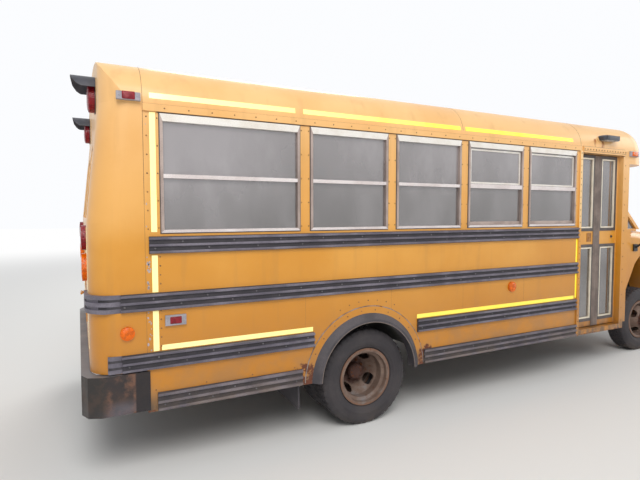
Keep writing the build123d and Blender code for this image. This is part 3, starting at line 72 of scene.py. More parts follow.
AXLE = middle("rear_tyres_right", 0)
FRONT_AXLE = middle("front_tyre_right", 0)
WHEEL_Z = middle("rear_tyres_right", 2)
HALF = box("rear_shell")[1].y
ROOF_TOP = box("roof")[1].z
EAVES = box("roof")[0].z
EDGE_R = 0.270
EDGE_Y = HALF - EDGE_R
CROWN_DROP = ROOF_TOP - EAVES
CROWN_R = (CROWN_DROP**2 + EDGE_Y**2 - EDGE_R**2) / (2 * (CROWN_DROP - EDGE_R))
REAR_SEAM = box("roof")[0].x
CAP_SEAM = box("roof")[1].x
REAR_FACE = box("rear_shell")[0].x
CAP_FRONT = box("front_cap")[1].x
SIDES = (-1, 1)


def at(station):
    """X of a station measured forward from the rear axle."""
    return AXLE + station


WINDOW_LOW, WINDOW_HIGH, SASH_BAR = 1.436, 2.155, 1.769
WINDOW_GAP, WINDOW_WIDTH = 0.083, 0.654
WINDOWS = [(at(-1.502), at(-0.576))]
for _ in range(4):
    start = WINDOWS[-1][1] + WINDOW_GAP
    WINDOWS.append((start, start + WINDOW_WIDTH))
DOOR_REAR, DOOR_FRONT = at(2.459), at(3.136)
DOOR_LOW, DOOR_HIGH = 0.385, 2.147
GUTTER_LOW = 2.163
TRIM_Y = HALF + 0.012
ARCH_X, ARCH_Z = at(-0.010), 0.325
BODY_FRONT = at(3.201)


# Materials, written with short names for the nodes

class Surface:
    """A principled material whose patterns follow the object's own coordinates."""

    def __init__(self, name, roughness=0.5, metallic=0.0, **sockets):
        self.material = bpy.data.materials.new(name)
        self.material.use_nodes = True
        self.tree = self.material.node_tree
        self.shader = self.tree.nodes["Principled BSDF"]
        self.coords = self.tree.nodes.new("ShaderNodeTexCoord").outputs["Object"]
        self.put("Roughness", roughness)
        self.put("Metallic", metallic)
        for socket, value in sockets.items():
            self.put(socket.replace("_", " "), value)

    def put(self, socket, value):
        target = self.shader.inputs[socket]
        if isinstance(value, bpy.types.NodeSocket):
            self.tree.links.new(value, target)
        elif isinstance(value, tuple) and len(value) == 3:
            target.default_value = (*value, 1.0)
        else:
            target.default_value = value

    def feed(self, node, socket, value):
        if isinstance(value, bpy.types.NodeSocket):
            self.tree.links.new(value, node.inputs[socket])
        elif isinstance(value, tuple) and len(value) == 3 and node.inputs[socket].type == "RGBA":
            node.inputs[socket].default_value = (*value, 1.0)
        else:
            node.inputs[socket].default_value = value

    def noise(self, scale, detail=4.0, stretch=(1, 1, 1), roughness=0.55):
        mapping = self.tree.nodes.new("ShaderNodeMapping")
        self.feed(mapping, "Vector", self.coords)
        mapping.inputs["Scale"].default_value = stretch
        node = self.tree.nodes.new("ShaderNodeTexNoise")
        self.feed(node, "Vector", mapping.outputs["Vector"])
        self.feed(node, "Scale", scale)
        self.feed(node, "Detail", detail)
        self.feed(node, "Roughness", roughness)
        return node.outputs["Fac"]

    def axis(self, name):
        node = self.tree.nodes.new("ShaderNodeSeparateXYZ")
        self.feed(node, "Vector", self.coords)
        return self.math("SUBTRACT", node.outputs[name], DATUM) if name == "Z" else node.outputs[name]

    def span(self, value, low, high, to_low=0.0, to_high=1.0):
        """value from low..high as to_low..to_high, held at the ends."""
        node = self.tree.nodes.new("ShaderNodeMapRange")
        node.interpolation_type = "SMOOTHSTEP"
        for socket, number in zip(("Value", "From Min", "From Max", "To Min", "To Max"),
                                  (value, low, high, to_low, to_high)):
            self.feed(node, socket, number)
        return node.outputs["Result"]

    def within(self, name, low, high, soft):
        """Share that is 1 between two values of an axis and fades out over soft beyond them."""
        value = self.axis(name)
        rise = self.span(value, low - soft, low)
        return self.math("MULTIPLY", rise, self.span(value, high + soft, high))

    def math(self, operation, first, second=0.0):
        node = self.tree.nodes.new("ShaderNodeMath")
        node.operation = operation
        self.feed(node, 0, first)
        self.feed(node, 1, second)
        return node.outputs["Value"]

    def mix(self, factor, first, second, blend="MIX"):
        node = self.tree.nodes.new("ShaderNodeMix")
        node.data_type = "RGBA"
        node.blend_type = blend
        self.feed(node, "Factor", factor)
        for index, colour in ((6, first), (7, second)):
            if isinstance(colour, bpy.types.NodeSocket):
                self.tree.links.new(colour, node.inputs[index])
            else:
                node.inputs[index].default_value = (*colour, 1.0)
        return node.outputs[2]

    def bump(self, height, strength=0.3, distance=0.002):
        node = self.tree.nodes.new("ShaderNodeBump")
        self.feed(node, "Strength", strength)
        self.feed(node, "Distance", distance)
        self.feed(node, "Height", height)
        if self.shader.inputs["Normal"].is_linked:
            self.tree.links.new(self.shader.inputs["Normal"].links[0].from_socket, node.inputs["Normal"])
        self.put("Normal", node.outputs["Normal"])


RUST = (0.13, 0.040, 0.013)
DUST = (0.23, 0.165, 0.105)
GRIME = (0.045, 0.033, 0.024)


def weathered(name, base, worn, patch=2.0, grain=120.0, rough=(0.35, 0.6), metallic=0.0,
              dust_top=0.0, rust=0.0, bump=0.25, **sockets):
    """Aged finish: base and worn colours in patches, fine grain, dust low down and spots of rust."""
    surface = Surface(name, metallic=metallic, **sockets)
    patches = surface.noise(patch, 5.0)
    fine = surface.noise(grain, 3.0)
    colour = surface.mix(surface.span(patches, 0.38, 0.66), base, worn)
    shade = surface.span(fine, 0.3, 0.7, 0.86, 1.08)
    colour = surface.mix(1.0, colour, surface.mix(shade, (0, 0, 0), (1, 1, 1)), "MULTIPLY")
    roughness = surface.span(patches, 0.3, 0.7, *rough)
    if dust_top:
        low_down = surface.span(surface.axis("Z"), dust_top, dust_top - 0.45, 0.0, 0.75)
        dusty = surface.math("MULTIPLY", low_down, surface.span(surface.noise(7.0, 6.0), 0.3, 0.65))
        colour = surface.mix(dusty, colour, DUST)
        roughness = surface.math("MAXIMUM", roughness, surface.math("MULTIPLY", dusty, 0.95))
    if rust:
        spots = surface.span(surface.noise(11.0, 8.0, roughness=0.68), 0.66 - 0.3 * rust, 0.74 - 0.3 * rust)
        tone = surface.mix(surface.noise(40.0), RUST, (0.30, 0.11, 0.035))
        colour = surface.mix(spots, colour, tone)
        roughness = surface.math("MAXIMUM", roughness, surface.math("MULTIPLY", spots, 0.92))
        surface.bump(spots, 0.25, 0.0015)
    surface.put("Base Color", colour)
    surface.put("Roughness", roughness)
    surface.bump(fine, bump, 0.001)
    return surface.material


def body_paint():
    """Yellow-orange enamel: paler up towards the roof, partly powdery weathered paint and partly a painted highlight; a
    painted highlight on the entrance's rear pillar; wavy panels, run-off streaks, rust round the arches.
    """
    surface = Surface("body_paint", Coat_Weight=0.30, Coat_Roughness=0.16, Specular_IOR_Level=0.5)
    up = surface.axis("Z")
    patches = surface.noise(1.3, 5.0)
    streaks = surface.noise(9.0, 5.0, (1.0, 1.0, 0.12))
    colour = surface.mix(surface.span(patches, 0.35, 0.7), (0.66, 0.282, 0.022), (0.74, 0.352, 0.052))
    colour = surface.mix(surface.span(up, 1.45, 0.5, 0.0, 0.75), colour, (0.50, 0.182, 0.006))
    # Paler paint up towards the roof: partly powdery weathered paint, partly a painted highlight standing in for glare
    # on the roof.
    chalk_and_glare = surface.math("MULTIPLY", surface.span(up, 1.5, 2.45), surface.span(patches, 0.2, 0.6, 0.45, 0.85))
    colour = surface.mix(chalk_and_glare, colour, (0.86, 0.56, 0.27))
    # Paler band at window height, in patches.
    paler_band = surface.math("MULTIPLY", surface.within("Z", 1.55, 2.25, 0.22), surface.span(patches, 0.25, 0.65, 0.2, 0.42))
    colour = surface.mix(paler_band, colour, (0.84, 0.47, 0.16))
    # Painted highlight: a paler strip on the entrance's rear pillar at window height, standing in for its sunlit edge.
    post_highlight = surface.math("MULTIPLY", surface.within("X", at(2.428), at(2.456), 0.004), surface.within("Z", 1.42, 2.15, 0.03))
    colour = surface.mix(surface.math("MULTIPLY", post_highlight, 0.6), colour, (0.90, 0.66, 0.33))
    run_off = surface.math("MULTIPLY", surface.span(streaks, 0.52, 0.72), 0.16)
    colour = surface.mix(run_off, colour, (0.33, 0.17, 0.05))
    dirty = surface.math("MULTIPLY", surface.span(up, 0.95, 0.33, 0.0, 0.5),
                         surface.span(surface.noise(6.0, 7.0), 0.35, 0.65))
    colour = surface.mix(dirty, colour, (0.30, 0.17, 0.075))
    splash = surface.math("MULTIPLY", surface.span(up, 0.48, 0.350, 0.0, 0.85),
                          surface.span(surface.noise(14.0, 7.0, (1, 1, 0.5)), 0.3, 0.6))
    colour = surface.mix(splash, colour, (0.090, 0.062, 0.040))

    forward = surface.axis("X")
    near = 0.0
    for arch in (AXLE, FRONT_AXLE):
        away = surface.math("ABSOLUTE", surface.math("SUBTRACT", forward, arch))
        ring = surface.math("MULTIPLY", surface.span(away, 0.44, 0.50), surface.span(away, 0.72, 0.54))
        near = surface.math("ADD", ring, near)
    low = surface.span(up, 0.58, 0.38)
    edge = surface.span(up, 0.375, 0.340, 0.0, 0.45)
    risk = surface.math("MAXIMUM", surface.math("MULTIPLY", near, low), edge)
    grit = surface.noise(24.0, 9.0, roughness=0.7)
    rust = surface.span(surface.math("MULTIPLY", risk, surface.span(grit, 0.30, 0.65)), 0.24, 0.44)
    colour = surface.mix(rust, colour, surface.mix(surface.noise(55.0), (0.165, 0.045, 0.020), (0.105, 0.032, 0.014)))
    lamp_side = surface.math("MULTIPLY", surface.within("X", at(2.66), at(2.79), 0.03),
                             surface.within("Z", 2.215, 2.29, 0.012))
    lamp_side = surface.math("MULTIPLY", lamp_side, surface.span(surface.axis("Y"), -1.0, -1.1))
    drip = surface.math("MULTIPLY", lamp_side, surface.span(surface.noise(30.0, 5.0, (1, 1, 0.25)), 0.45, 0.62))
    colour = surface.mix(drip, colour, (0.42, 0.15, 0.035))
    surface.put("Base Color", colour)
    roughness = surface.math("ADD", surface.span(patches, 0.3, 0.7, 0.30, 0.42),
                             surface.math("MULTIPLY", chalk_and_glare, 0.25))
    surface.put("Roughness", surface.math("MAXIMUM", roughness, surface.math("MULTIPLY", rust, 0.9)))
    surface.bump(surface.noise(2.2, 2.0), 0.35, 0.012)
    surface.bump(surface.math("ADD", surface.noise(180.0, 3.0), surface.math("MULTIPLY", rust, 4.0)), 0.08, 0.001)
    return surface.material


def tinted_glass():
    surface = Surface("tinted_glass", 0.02, Specular_IOR_Level=0.85, IOR=2.0, Coat_Weight=0.6, Coat_Roughness=0.01)
    film = surface.noise(3.0, 6.0, (1, 1, 0.5))
    # Painted reflection: the glass is paler towards its top and, at the upper sashes, towards the rear; patches of film
    # add to it.
    film_and_reflection = surface.math("ADD", surface.span(surface.axis("Z"), 1.45, 2.12, 0.0, 0.6),
                        surface.span(film, 0.35, 0.75, 0.0, 0.4))
    film_and_reflection = surface.math("ADD", film_and_reflection, surface.math("MULTIPLY", surface.span(surface.axis("X"), at(-0.5), at(-1.3)),
                                                  surface.span(surface.axis("Z"), 1.4, 1.9, 0.1, 0.45)))
    surface.put("Base Color", surface.mix(film_and_reflection, (0.090, 0.076, 0.070), (0.300, 0.275, 0.283)))
    surface.put("Roughness", surface.span(film, 0.4, 0.8, 0.015, 0.08))
    surface.put("Alpha", surface.span(film, 0.4, 0.8, 0.78, 0.88))
    surface.bump(surface.noise(1.6, 1.0), 0.2, 0.01)
    return surface.material


def lens(name, colour, ribs=60.0, painted_emission=0.04):
    """Moulded lamp lens with fine ribs behind a clear face; its emission is painted light."""
    surface = Surface(name, 0.2, Coat_Weight=0.12, Coat_Roughness=0.05, Specular_IOR_Level=0.3)
    wave = surface.tree.nodes.new("ShaderNodeTexWave")
    wave.bands_direction = "Z"
    surface.feed(wave, "Vector", surface.coords)
    surface.feed(wave, "Scale", ribs)
    rib = wave.outputs["Fac"]
    facet = surface.tree.nodes.new("ShaderNodeTexVoronoi")
    surface.feed(facet, "Vector", surface.coords)
    surface.feed(facet, "Scale", ribs)
    part = surface.tree.nodes.new("ShaderNodeSeparateColor")
    surface.feed(part, "Color", facet.outputs["Color"])
    rib = surface.math("MULTIPLY", rib, surface.span(part.outputs["Red"], 0.2, 0.7, 0.35, 1.0))
    dark = tuple(c * 0.4 for c in colour)
    surface.put("Base Color", surface.mix(rib, dark, colour))
    # Painted light: the lens gives off light of its own, standing in for light that it catches.
    surface.put("Emission Color", surface.mix(rib, dark, colour))
    surface.put("Emission Strength", painted_emission)
    surface.bump(rib, 0.4, 0.002)
    return surface.material


def reflective_tape():
    """Bright yellow tape with a fine honeycomb: paler towards the rear, deep yellow towards the front."""
    surface = Surface("reflective_tape", 0.25, Coat_Weight=0.6, Coat_Roughness=0.1)
    cells = surface.tree.nodes.new("ShaderNodeTexVoronoi")
    surface.feed(cells, "Vector", surface.coords)
    surface.feed(cells, "Scale", 260.0)
    forward = surface.span(surface.axis("X"), at(-1.6), at(1.2))
    worn = surface.math("ADD", surface.math("MULTIPLY", forward, 0.8), surface.span(surface.noise(3.0, 6.0), 0.5, 0.8, 0.0, 0.3))
    base = surface.mix(worn, (1.0, 0.94, 0.46), (0.95, 0.78, 0.015))
    surface.put("Base Color", surface.mix(surface.span(cells.outputs["Distance"], 0.0, 0.5, 0.0, 0.25), base, (0.9, 0.72, 0.05)))
    # Painted light: the tape gives off light of its own, paler towards the rear, standing in for the light that it
    # catches.
    surface.put("Emission Color", surface.mix(forward, (1.0, 0.95, 0.46), (1.0, 0.80, 0.02)))
    surface.put("Emission Strength", 0.30)
    return surface.material


def vinyl(name, colour):
    """Embossed seat vinyl with fine creases."""
    surface = Surface(name, 0.42, Specular_IOR_Level=0.45)
    cells = surface.tree.nodes.new("ShaderNodeTexVoronoi")
    surface.feed(cells, "Vector", surface.coords)
    surface.feed(cells, "Scale", 420.0)
    worn = tuple(min(1.0, c * 1.35 + 0.01) for c in colour)
    surface.put("Base Color", surface.mix(surface.span(surface.noise(5.0, 6.0), 0.4, 0.7), colour, worn))
    surface.put("Roughness", surface.span(surface.noise(9.0), 0.3, 0.7, 0.34, 0.52))
    surface.bump(cells.outputs["Distance"], 0.25, 0.0008)
    surface.bump(surface.noise(14.0, 5.0), 0.25, 0.004)
    return surface.material


def wheel_paint():
    """Beige wheel paint gone brown, a dark rusty hub and a rim edge of orange rust."""
    surface = Surface("wheel_paint", metallic=0.1)
    forward = surface.axis("X")
    near = surface.math("MINIMUM", *(surface.math("ABSOLUTE", surface.math("SUBTRACT", forward, axle))
                                     for axle in (AXLE, FRONT_AXLE)))
    up = surface.math("SUBTRACT", surface.axis("Z"), WHEEL_Z)
    squares = surface.math("ADD", surface.math("MULTIPLY", near, near), surface.math("MULTIPLY", up, up))
    radius = surface.math("POWER", squares, 0.5)
    wander = surface.math("MULTIPLY", surface.math("SUBTRACT", surface.noise(26.0, 5.0), 0.5), 0.05)
    radius = surface.math("ADD", radius, wander)
    patches = surface.noise(9.0, 6.0)
    colour = surface.mix(surface.span(patches, 0.35, 0.68), (0.205, 0.142, 0.110), (0.135, 0.086, 0.066))
    grey = surface.math("MULTIPLY", surface.span(up, -0.04, -0.12), surface.span(patches, 0.5, 0.3))
    colour = surface.mix(grey, colour, (0.20, 0.175, 0.17))
    colour = surface.mix(surface.span(radius, 0.118, 0.096), colour, (0.075, 0.034, 0.026))
    colour = surface.mix(surface.span(radius, 0.206, 0.216), colour, (0.20, 0.108, 0.070))
    spots = surface.span(surface.noise(38.0, 8.0, roughness=0.7), 0.56, 0.66, 0.0, 0.75)
    colour = surface.mix(spots, colour, RUST)
    surface.put("Base Color", colour)
    surface.put("Roughness", surface.span(patches, 0.3, 0.7, 0.6, 0.85))
    surface.bump(surface.noise(90.0, 5.0), 0.3, 0.0012)
    return surface.material


def bumper_steel():
    """Dark bumper: dust where it faces up, brown rust, a painted shadow at its front ends."""
    surface = Surface("bumper_steel", metallic=0.15)
    patches = surface.noise(4.5, 6.0)
    colour = surface.mix(surface.span(patches, 0.36, 0.66), (0.030, 0.024, 0.025), (0.078, 0.046, 0.034))
    rust = surface.span(surface.noise(7.0, 9.0, roughness=0.7), 0.42, 0.60)
    colour = surface.mix(surface.math("MULTIPLY", rust, 0.85), colour, (0.185, 0.090, 0.055))
    low = surface.math("MULTIPLY", surface.span(surface.axis("Z"), 0.46, 0.38), surface.span(patches, 0.3, 0.6))
    colour = surface.mix(surface.math("MULTIPLY", low, 0.8), colour, (0.115, 0.112, 0.135))
    corner = surface.math("MULTIPLY", surface.span(surface.axis("X"), at(-1.80), at(-1.86)),
                          surface.span(surface.math("ABSOLUTE", surface.axis("Y")), 1.02, 1.10))
    colour = surface.mix(surface.math("MULTIPLY", corner, 0.8), colour, (0.026, 0.024, 0.022))
    chipped = surface.math("MULTIPLY", surface.within("X", at(-1.677), at(-1.655), 0.012),
                           surface.span(surface.noise(22.0, 6.0), 0.40, 0.58, 0.15, 0.9))
    colour = surface.mix(chipped, colour, (0.17, 0.085, 0.055))
    # Painted shadow: the bumper's front ends made nearly black, standing in for the dark gap behind them.
    ends = surface.math("MULTIPLY", surface.within("X", at(-1.662), at(-1.58), 0.012), 0.95)
    colour = surface.mix(ends, colour, (0.018, 0.015, 0.017))
    facing = surface.tree.nodes.new("ShaderNodeNewGeometry")
    part = surface.tree.nodes.new("ShaderNodeSeparateXYZ")
    surface.feed(part, "Vector", facing.outputs["Normal"])
    top = surface.math("MULTIPLY", surface.span(part.outputs["Z"], 0.6, 0.9), surface.span(patches, 0.2, 0.6, 0.5, 0.95))
    colour = surface.mix(top, colour, (0.22, 0.215, 0.225))
    surface.put("Base Color", colour)
    surface.put("Roughness", surface.span(patches, 0.3, 0.7, 0.38, 0.7))
    surface.bump(surface.math("ADD", surface.noise(70.0, 5.0), rust), 0.3, 0.0015)
    return surface.material


MATERIALS = {
    "body_paint": body_paint(),
    "tinted_glass": tinted_glass(),
    "window_aluminium": weathered("window_aluminium", (0.66, 0.585, 0.57), (0.76, 0.70, 0.69), 6.0, 200.0,
                                  (0.35, 0.5), 0.35),
    "bronze_aluminium": weathered("bronze_aluminium", (0.47, 0.375, 0.335), (0.35, 0.275, 0.245), 6.0, 200.0,
                                  (0.35, 0.5), 0.45),
    "pale_aluminium": weathered("pale_aluminium", (0.82, 0.79, 0.74), (0.74, 0.69, 0.62), 8.0, 220.0,
                                (0.32, 0.45), 0.2),
    "cream_aluminium": weathered("cream_aluminium", (0.84, 0.76, 0.62), (0.72, 0.65, 0.52), 8.0, 220.0,
                                 (0.32, 0.45), 0.15),
    "black_paint": weathered("black_paint", (0.105, 0.095, 0.122), (0.190, 0.174, 0.212), 5.0, 90.0,
                             (0.36, 0.60), dust_top=0.60),
    "black_rubber": weathered("black_rubber", (0.050, 0.045, 0.052), (0.090, 0.080, 0.088), 7.0, 150.0,
                              (0.55, 0.75), dust_top=0.20),
    "seal_rubber": weathered("seal_rubber", (0.075, 0.066, 0.064), (0.135, 0.115, 0.108), 9.0, 150.0, (0.5, 0.7)),
    "floor_cover": weathered("floor_cover", (0.055, 0.055, 0.058), (0.10, 0.095, 0.085), 3.0, 90.0, (0.55, 0.8)),
    "chassis_paint": weathered("chassis_paint", (0.030, 0.028, 0.027), (0.06, 0.05, 0.042), 4.0, 100.0,
                               (0.55, 0.8), 0.2, dust_top=0.9, rust=0.45),
    "cast_parts": weathered("cast_parts", (0.09, 0.075, 0.065), (0.12, 0.075, 0.05), 5.0, 110.0,
                            (0.6, 0.85), 0.4, dust_top=0.7, rust=0.5),
    "bare_steel": weathered("bare_steel", (0.30, 0.28, 0.26), (0.22, 0.17, 0.13), 4.0, 130.0,
                            (0.4, 0.65), 0.7, dust_top=0.7, rust=0.45),
    "bumper_steel": bumper_steel(),
    "wheel_paint": wheel_paint(),
    "hub_rust": weathered("hub_rust", (0.13, 0.055, 0.034), (0.075, 0.035, 0.026), 12.0, 160.0,
                          (0.75, 0.95), 0.2, rust=0.5),
    "tyre_rubber": weathered("tyre_rubber", (0.034, 0.030, 0.034), (0.058, 0.051, 0.054), 6.0, 200.0,
                             (0.7, 0.9), dust_top=0.10),
    "lamp_plastic": weathered("lamp_plastic", (0.020, 0.020, 0.022), (0.04, 0.038, 0.037), 9.0, 150.0, (0.4, 0.6)),
    "grey_housing": weathered("grey_housing", (0.36, 0.34, 0.38), (0.27, 0.26, 0.29), 14.0, 160.0, (0.45, 0.6)),
    "grey_flecks": weathered("grey_flecks", (0.40, 0.355, 0.37), (0.50, 0.45, 0.46), 60.0, 300.0, (0.6, 0.8)),
    "sealant": weathered("sealant", (0.30, 0.265, 0.25), (0.17, 0.12, 0.09), 16.0, 160.0, (0.6, 0.8), rust=0.35),
    "grille_plastic": weathered("grille_plastic", (0.055, 0.055, 0.058), (0.10, 0.098, 0.095), 6.0, 150.0,
                                (0.45, 0.65)),
    "cab_plastic": weathered("cab_plastic", (0.115, 0.115, 0.12), (0.15, 0.148, 0.145), 5.0, 260.0, (0.55, 0.7)),
    "mirror_housing": weathered("mirror_housing", (0.020, 0.020, 0.021), (0.04, 0.038, 0.037), 8.0, 220.0,
                                (0.42, 0.6)),
    "seat_vinyl": vinyl("seat_vinyl", (0.085, 0.115, 0.095)),
    "reflective_tape": reflective_tape(),
    "red_lens": lens("red_lens", (0.36, 0.014, 0.028)),
    # Amber lenses and round reflectors carry the most painted light.
    "amber_lens": lens("amber_lens", (0.95, 0.170, 0.001), painted_emission=0.22),
    "clear_lens": lens("clear_lens", (0.62, 0.64, 0.66), 90.0),
    # Rivet heads darker than the body paint: partly rust and dirt, partly painted shade that makes the small heads
    # show.
    "rivet": weathered("rivet", (0.36, 0.17, 0.05), (0.15, 0.078, 0.038), 30.0, 200.0, (0.5, 0.7), 0.2),
    "edge_line": weathered("edge_line", (0.24, 0.12, 0.05), (0.12, 0.07, 0.045), 12.0, 200.0, (0.6, 0.8)),
    "worn_seal": weathered("worn_seal", (0.235, 0.185, 0.160), (0.165, 0.130, 0.115), 7.0, 150.0, (0.55, 0.75)),
    # Painted shade for the grooves of the rails, with dust low down.
    "rail_groove_shade": weathered("rail_groove_shade", (0.034, 0.031, 0.038), (0.060, 0.054, 0.062), 9.0, 90.0, (0.6, 0.8),
                             dust_top=0.52),
    "lock_plate": weathered("lock_plate", (0.42, 0.18, 0.03), (0.30, 0.13, 0.035), 30.0, 160.0, (0.4, 0.6)),
    "dark_hood": weathered("dark_hood", (0.030, 0.032, 0.044), (0.060, 0.062, 0.080), 9.0, 150.0, (0.4, 0.6)),
    "rail_fixing": weathered("rail_fixing", (0.20, 0.19, 0.20), (0.13, 0.12, 0.13), 30.0, 200.0, (0.4, 0.6), 0.5),
    "mirror_glass": Surface("mirror_glass", 0.03, 1.0, Base_Color=(0.85, 0.87, 0.88)).material,
}


def dress(obj, name):
    """Give an object its finish and the record's slot that it follows."""
    obj.data.materials.clear()
    obj.data.materials.append(MATERIALS[name])
    return obj


for part in frame["record"]["subparts"]:
    dress(NODES[part["node"]], part["material_slot"])


def repaint(obj, finishes, choose):
    """Give an object's faces their own finishes: choose returns an index for a face's centre."""
    mesh = obj.data
    mesh.materials.clear()
    for finish in finishes:
        mesh.materials.append(MATERIALS[finish])
    for face in mesh.polygons:
        face.material_index = choose(Vector((face.center.x, face.center.y, face.center.z - DATUM)))


def frame_finish(p):
    """White head rails, duller bottom rails and bronze sides."""
    near = min(abs(p.x - x) for pair in WINDOWS for x in pair)
    if p.z > WINDOW_HIGH - 0.047:
        return 0
    if near < 0.0185 and WINDOW_LOW + 0.018 < p.z:
        return 1
    return 2 if p.z > SASH_BAR - 0.02 else 3


def rail_finish(p):
    """Painted shade in the grooves between the ribs of the rails."""
    return 1 if p.x > at(-1.735) and abs(p.y) < HALF + 0.018 else 0


repaint(NODES["rub_rails"], ["black_paint", "rail_groove_shade"], rail_finish)
repaint(NODES["window_frames"], ["pale_aluminium", "bronze_aluminium", "window_aluminium", "window_aluminium"],
        frame_finish)


# Building meshes

def piece(name, mesh_parts, finish, body=BUS, smooth=False):
    """Object made of the given bmesh, riding on a body."""
    mesh = bpy.data.meshes.new(name)
    bmesh.ops.translate(mesh_parts, verts=mesh_parts.verts, vec=(0, 0, DATUM))
    bmesh.ops.recalc_face_normals(mesh_parts, faces=mesh_parts.faces)
    mesh_parts.to_mesh(mesh)
    mesh_parts.free()
    if smooth:
        mesh.shade_smooth()
    obj = bpy.data.objects.new(name, mesh)
    bpy.context.scene.collection.objects.link(obj)
    dress(obj, finish)
    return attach(obj, body)


def add_hull(form, bottom, top):
    """Closed form between two outlines of the same number of points."""
    low = [form.verts.new(p) for p in bottom]
    high = [form.verts.new(p) for p in top]
    form.faces.new(reversed(low))
    form.faces.new(high)
    count = len(low)
    for i in range(count):
        j = (i + 1) % count
        form.faces.new((low[i], low[j], high[j], high[i]))


def add_box(form, x, y, z, bevel=0.0):
    """Box between two values on each axis, with its outer edges cut back by bevel."""
    y = sorted(y)
    bottom = [(x[0], y[0], z[0]), (x[1], y[0], z[0]), (x[1], y[1], z[0]), (x[0], y[1], z[0])]
    top = [(px, py, z[1]) for px, py, _ in bottom]
    if bevel:
        part = bmesh.new()
        add_hull(part, bottom, top)
        bmesh.ops.bevel(part, geom=part.edges[:] + part.verts[:], offset=bevel, segments=2,
                        affect="EDGES", profile=0.6)
        merge(form, part)
    else:
        add_hull(form, bottom, top)


def merge(form, part):
    mesh = bpy.data.meshes.new("part")
    part.to_mesh(mesh)
    part.free()
    form.from_mesh(mesh)
    bpy.data.meshes.remove(mesh)


def add_ring(form, x, z, width, y, thickness, side):
    """Rectangular ring round the opening x by z, laid on the plane y and facing to a side."""
    face, back = side * (y + thickness), side * y
    outer = [(x[0] - width, z[0] - width), (x[1] + width, z[0] - width),
             (x[1] + width, z[1] + width), (x[0] - width, z[1] + width)]
    inner = [(x[0], z[0]), (x[1], z[0]), (x[1], z[1]), (x[0], z[1])]
    corners = []
    for depth in (face, back):
        corners.append([[form.verts.new((px, depth, pz)) for px, pz in loop] for loop in (outer, inner)])
    (front_out, front_in), (back_out, back_in) = corners
    for i in range(4):
        j = (i + 1) % 4
        form.faces.new((front_out[i], front_out[j], front_in[j], front_in[i]))
        form.faces.new((back_out[j], back_out[i], back_in[i], back_in[j]))
        form.faces.new((front_out[j], front_out[i], back_out[i], back_out[j]))
        form.faces.new((front_in[i], front_in[j], back_in[j], back_in[i]))


def add_dome(form, place, normal, radius, height, sides=8):
    """Round fastener head on a surface."""
    turn = Vector((0, 0, 1)).rotation_difference(Vector(normal)).to_matrix()
    place = Vector(place)
    rings = []
    for share, rise in ((1.0, -0.3), (0.97, 0.35), (0.62, 0.85)):
        ring = []
        for i in range(sides):
            angle = tau * i / sides
            local = Vector((radius * share * cos(angle), radius * share * sin(angle), height * rise))
            ring.append(form.verts.new(place + turn @ local))
        rings.append(ring)
    for low, high in zip(rings, rings[1:]):
        for i in range(sides):
            j = (i + 1) % sides
            form.faces.new((low[i], low[j], high[j], high[i]))
    form.faces.new(rings[-1])
    form.faces.new(reversed(rings[0]))


def add_band(form, path, width, thickness):
    """Flat band along a path of (point, normal)."""
    points = [Vector(point) for point, _ in path]
    rings = []
    for index, (point, normal) in enumerate(path):
        point, lift = Vector(point), Vector(normal).normalized() * thickness
        ahead = points[min(index + 1, len(points) - 1)] - points[max(index - 1, 0)]
        half = ahead.cross(lift).normalized() * (width / 2)
        sunk = lift * -0.5
        rings.append([form.verts.new(p) for p in (point - half + sunk, point + half + sunk,
                                                  point + half + lift, point - half + lift)])
    form.faces.new(reversed(rings[0]))
    form.faces.new(rings[-1])
    for low, high in zip(rings, rings[1:]):
        for i in range(4):
            j = (i + 1) % 4
            form.faces.new((low[i], low[j], high[j], high[i]))


def body_section(steps=10):
    """(y, z, normal) up the right side of the body, over the roof and down the left."""
    meet = pi / 2 - atan2(EDGE_Y, EAVES - (ROOF_TOP - CROWN_R))
    right = [(-HALF, EAVES - 0.6, (0, -1, 0)), (-HALF, EAVES, (0, -1, 0))]
    for i in range(1, steps):
        a = meet * i / steps
        right.append((-EDGE_Y - EDGE_R * cos(a), EAVES + EDGE_R * sin(a), (0, -cos(a), sin(a))))
    spread = atan2(EDGE_Y, EAVES - (ROOF_TOP - CROWN_R))
    for i in range(steps):
        a = spread * (1 - i / steps)
        right.append((-CROWN_R * sin(a), ROOF_TOP - CROWN_R + CROWN_R * cos(a), (0, -sin(a), cos(a))))
    top = [(0, ROOF_TOP, (0, 0, 1))]
    left = [(-y, z, (0, -n[1], n[2])) for y, z, n in reversed(right)]
    return right + top + left


# Fastener heads

def rivet_rows(form, rows, radius, height):
    """rows of (start, end, spacing, normal)."""
    for start, end, spacing, normal in rows:
        start, end = Vector(start), Vector(end)
        count = max(2, round((end - start).length / spacing) + 1)
        for i in range(count):
            add_dome(form, start.lerp(end, i / (count - 1)), normal, radius, height)


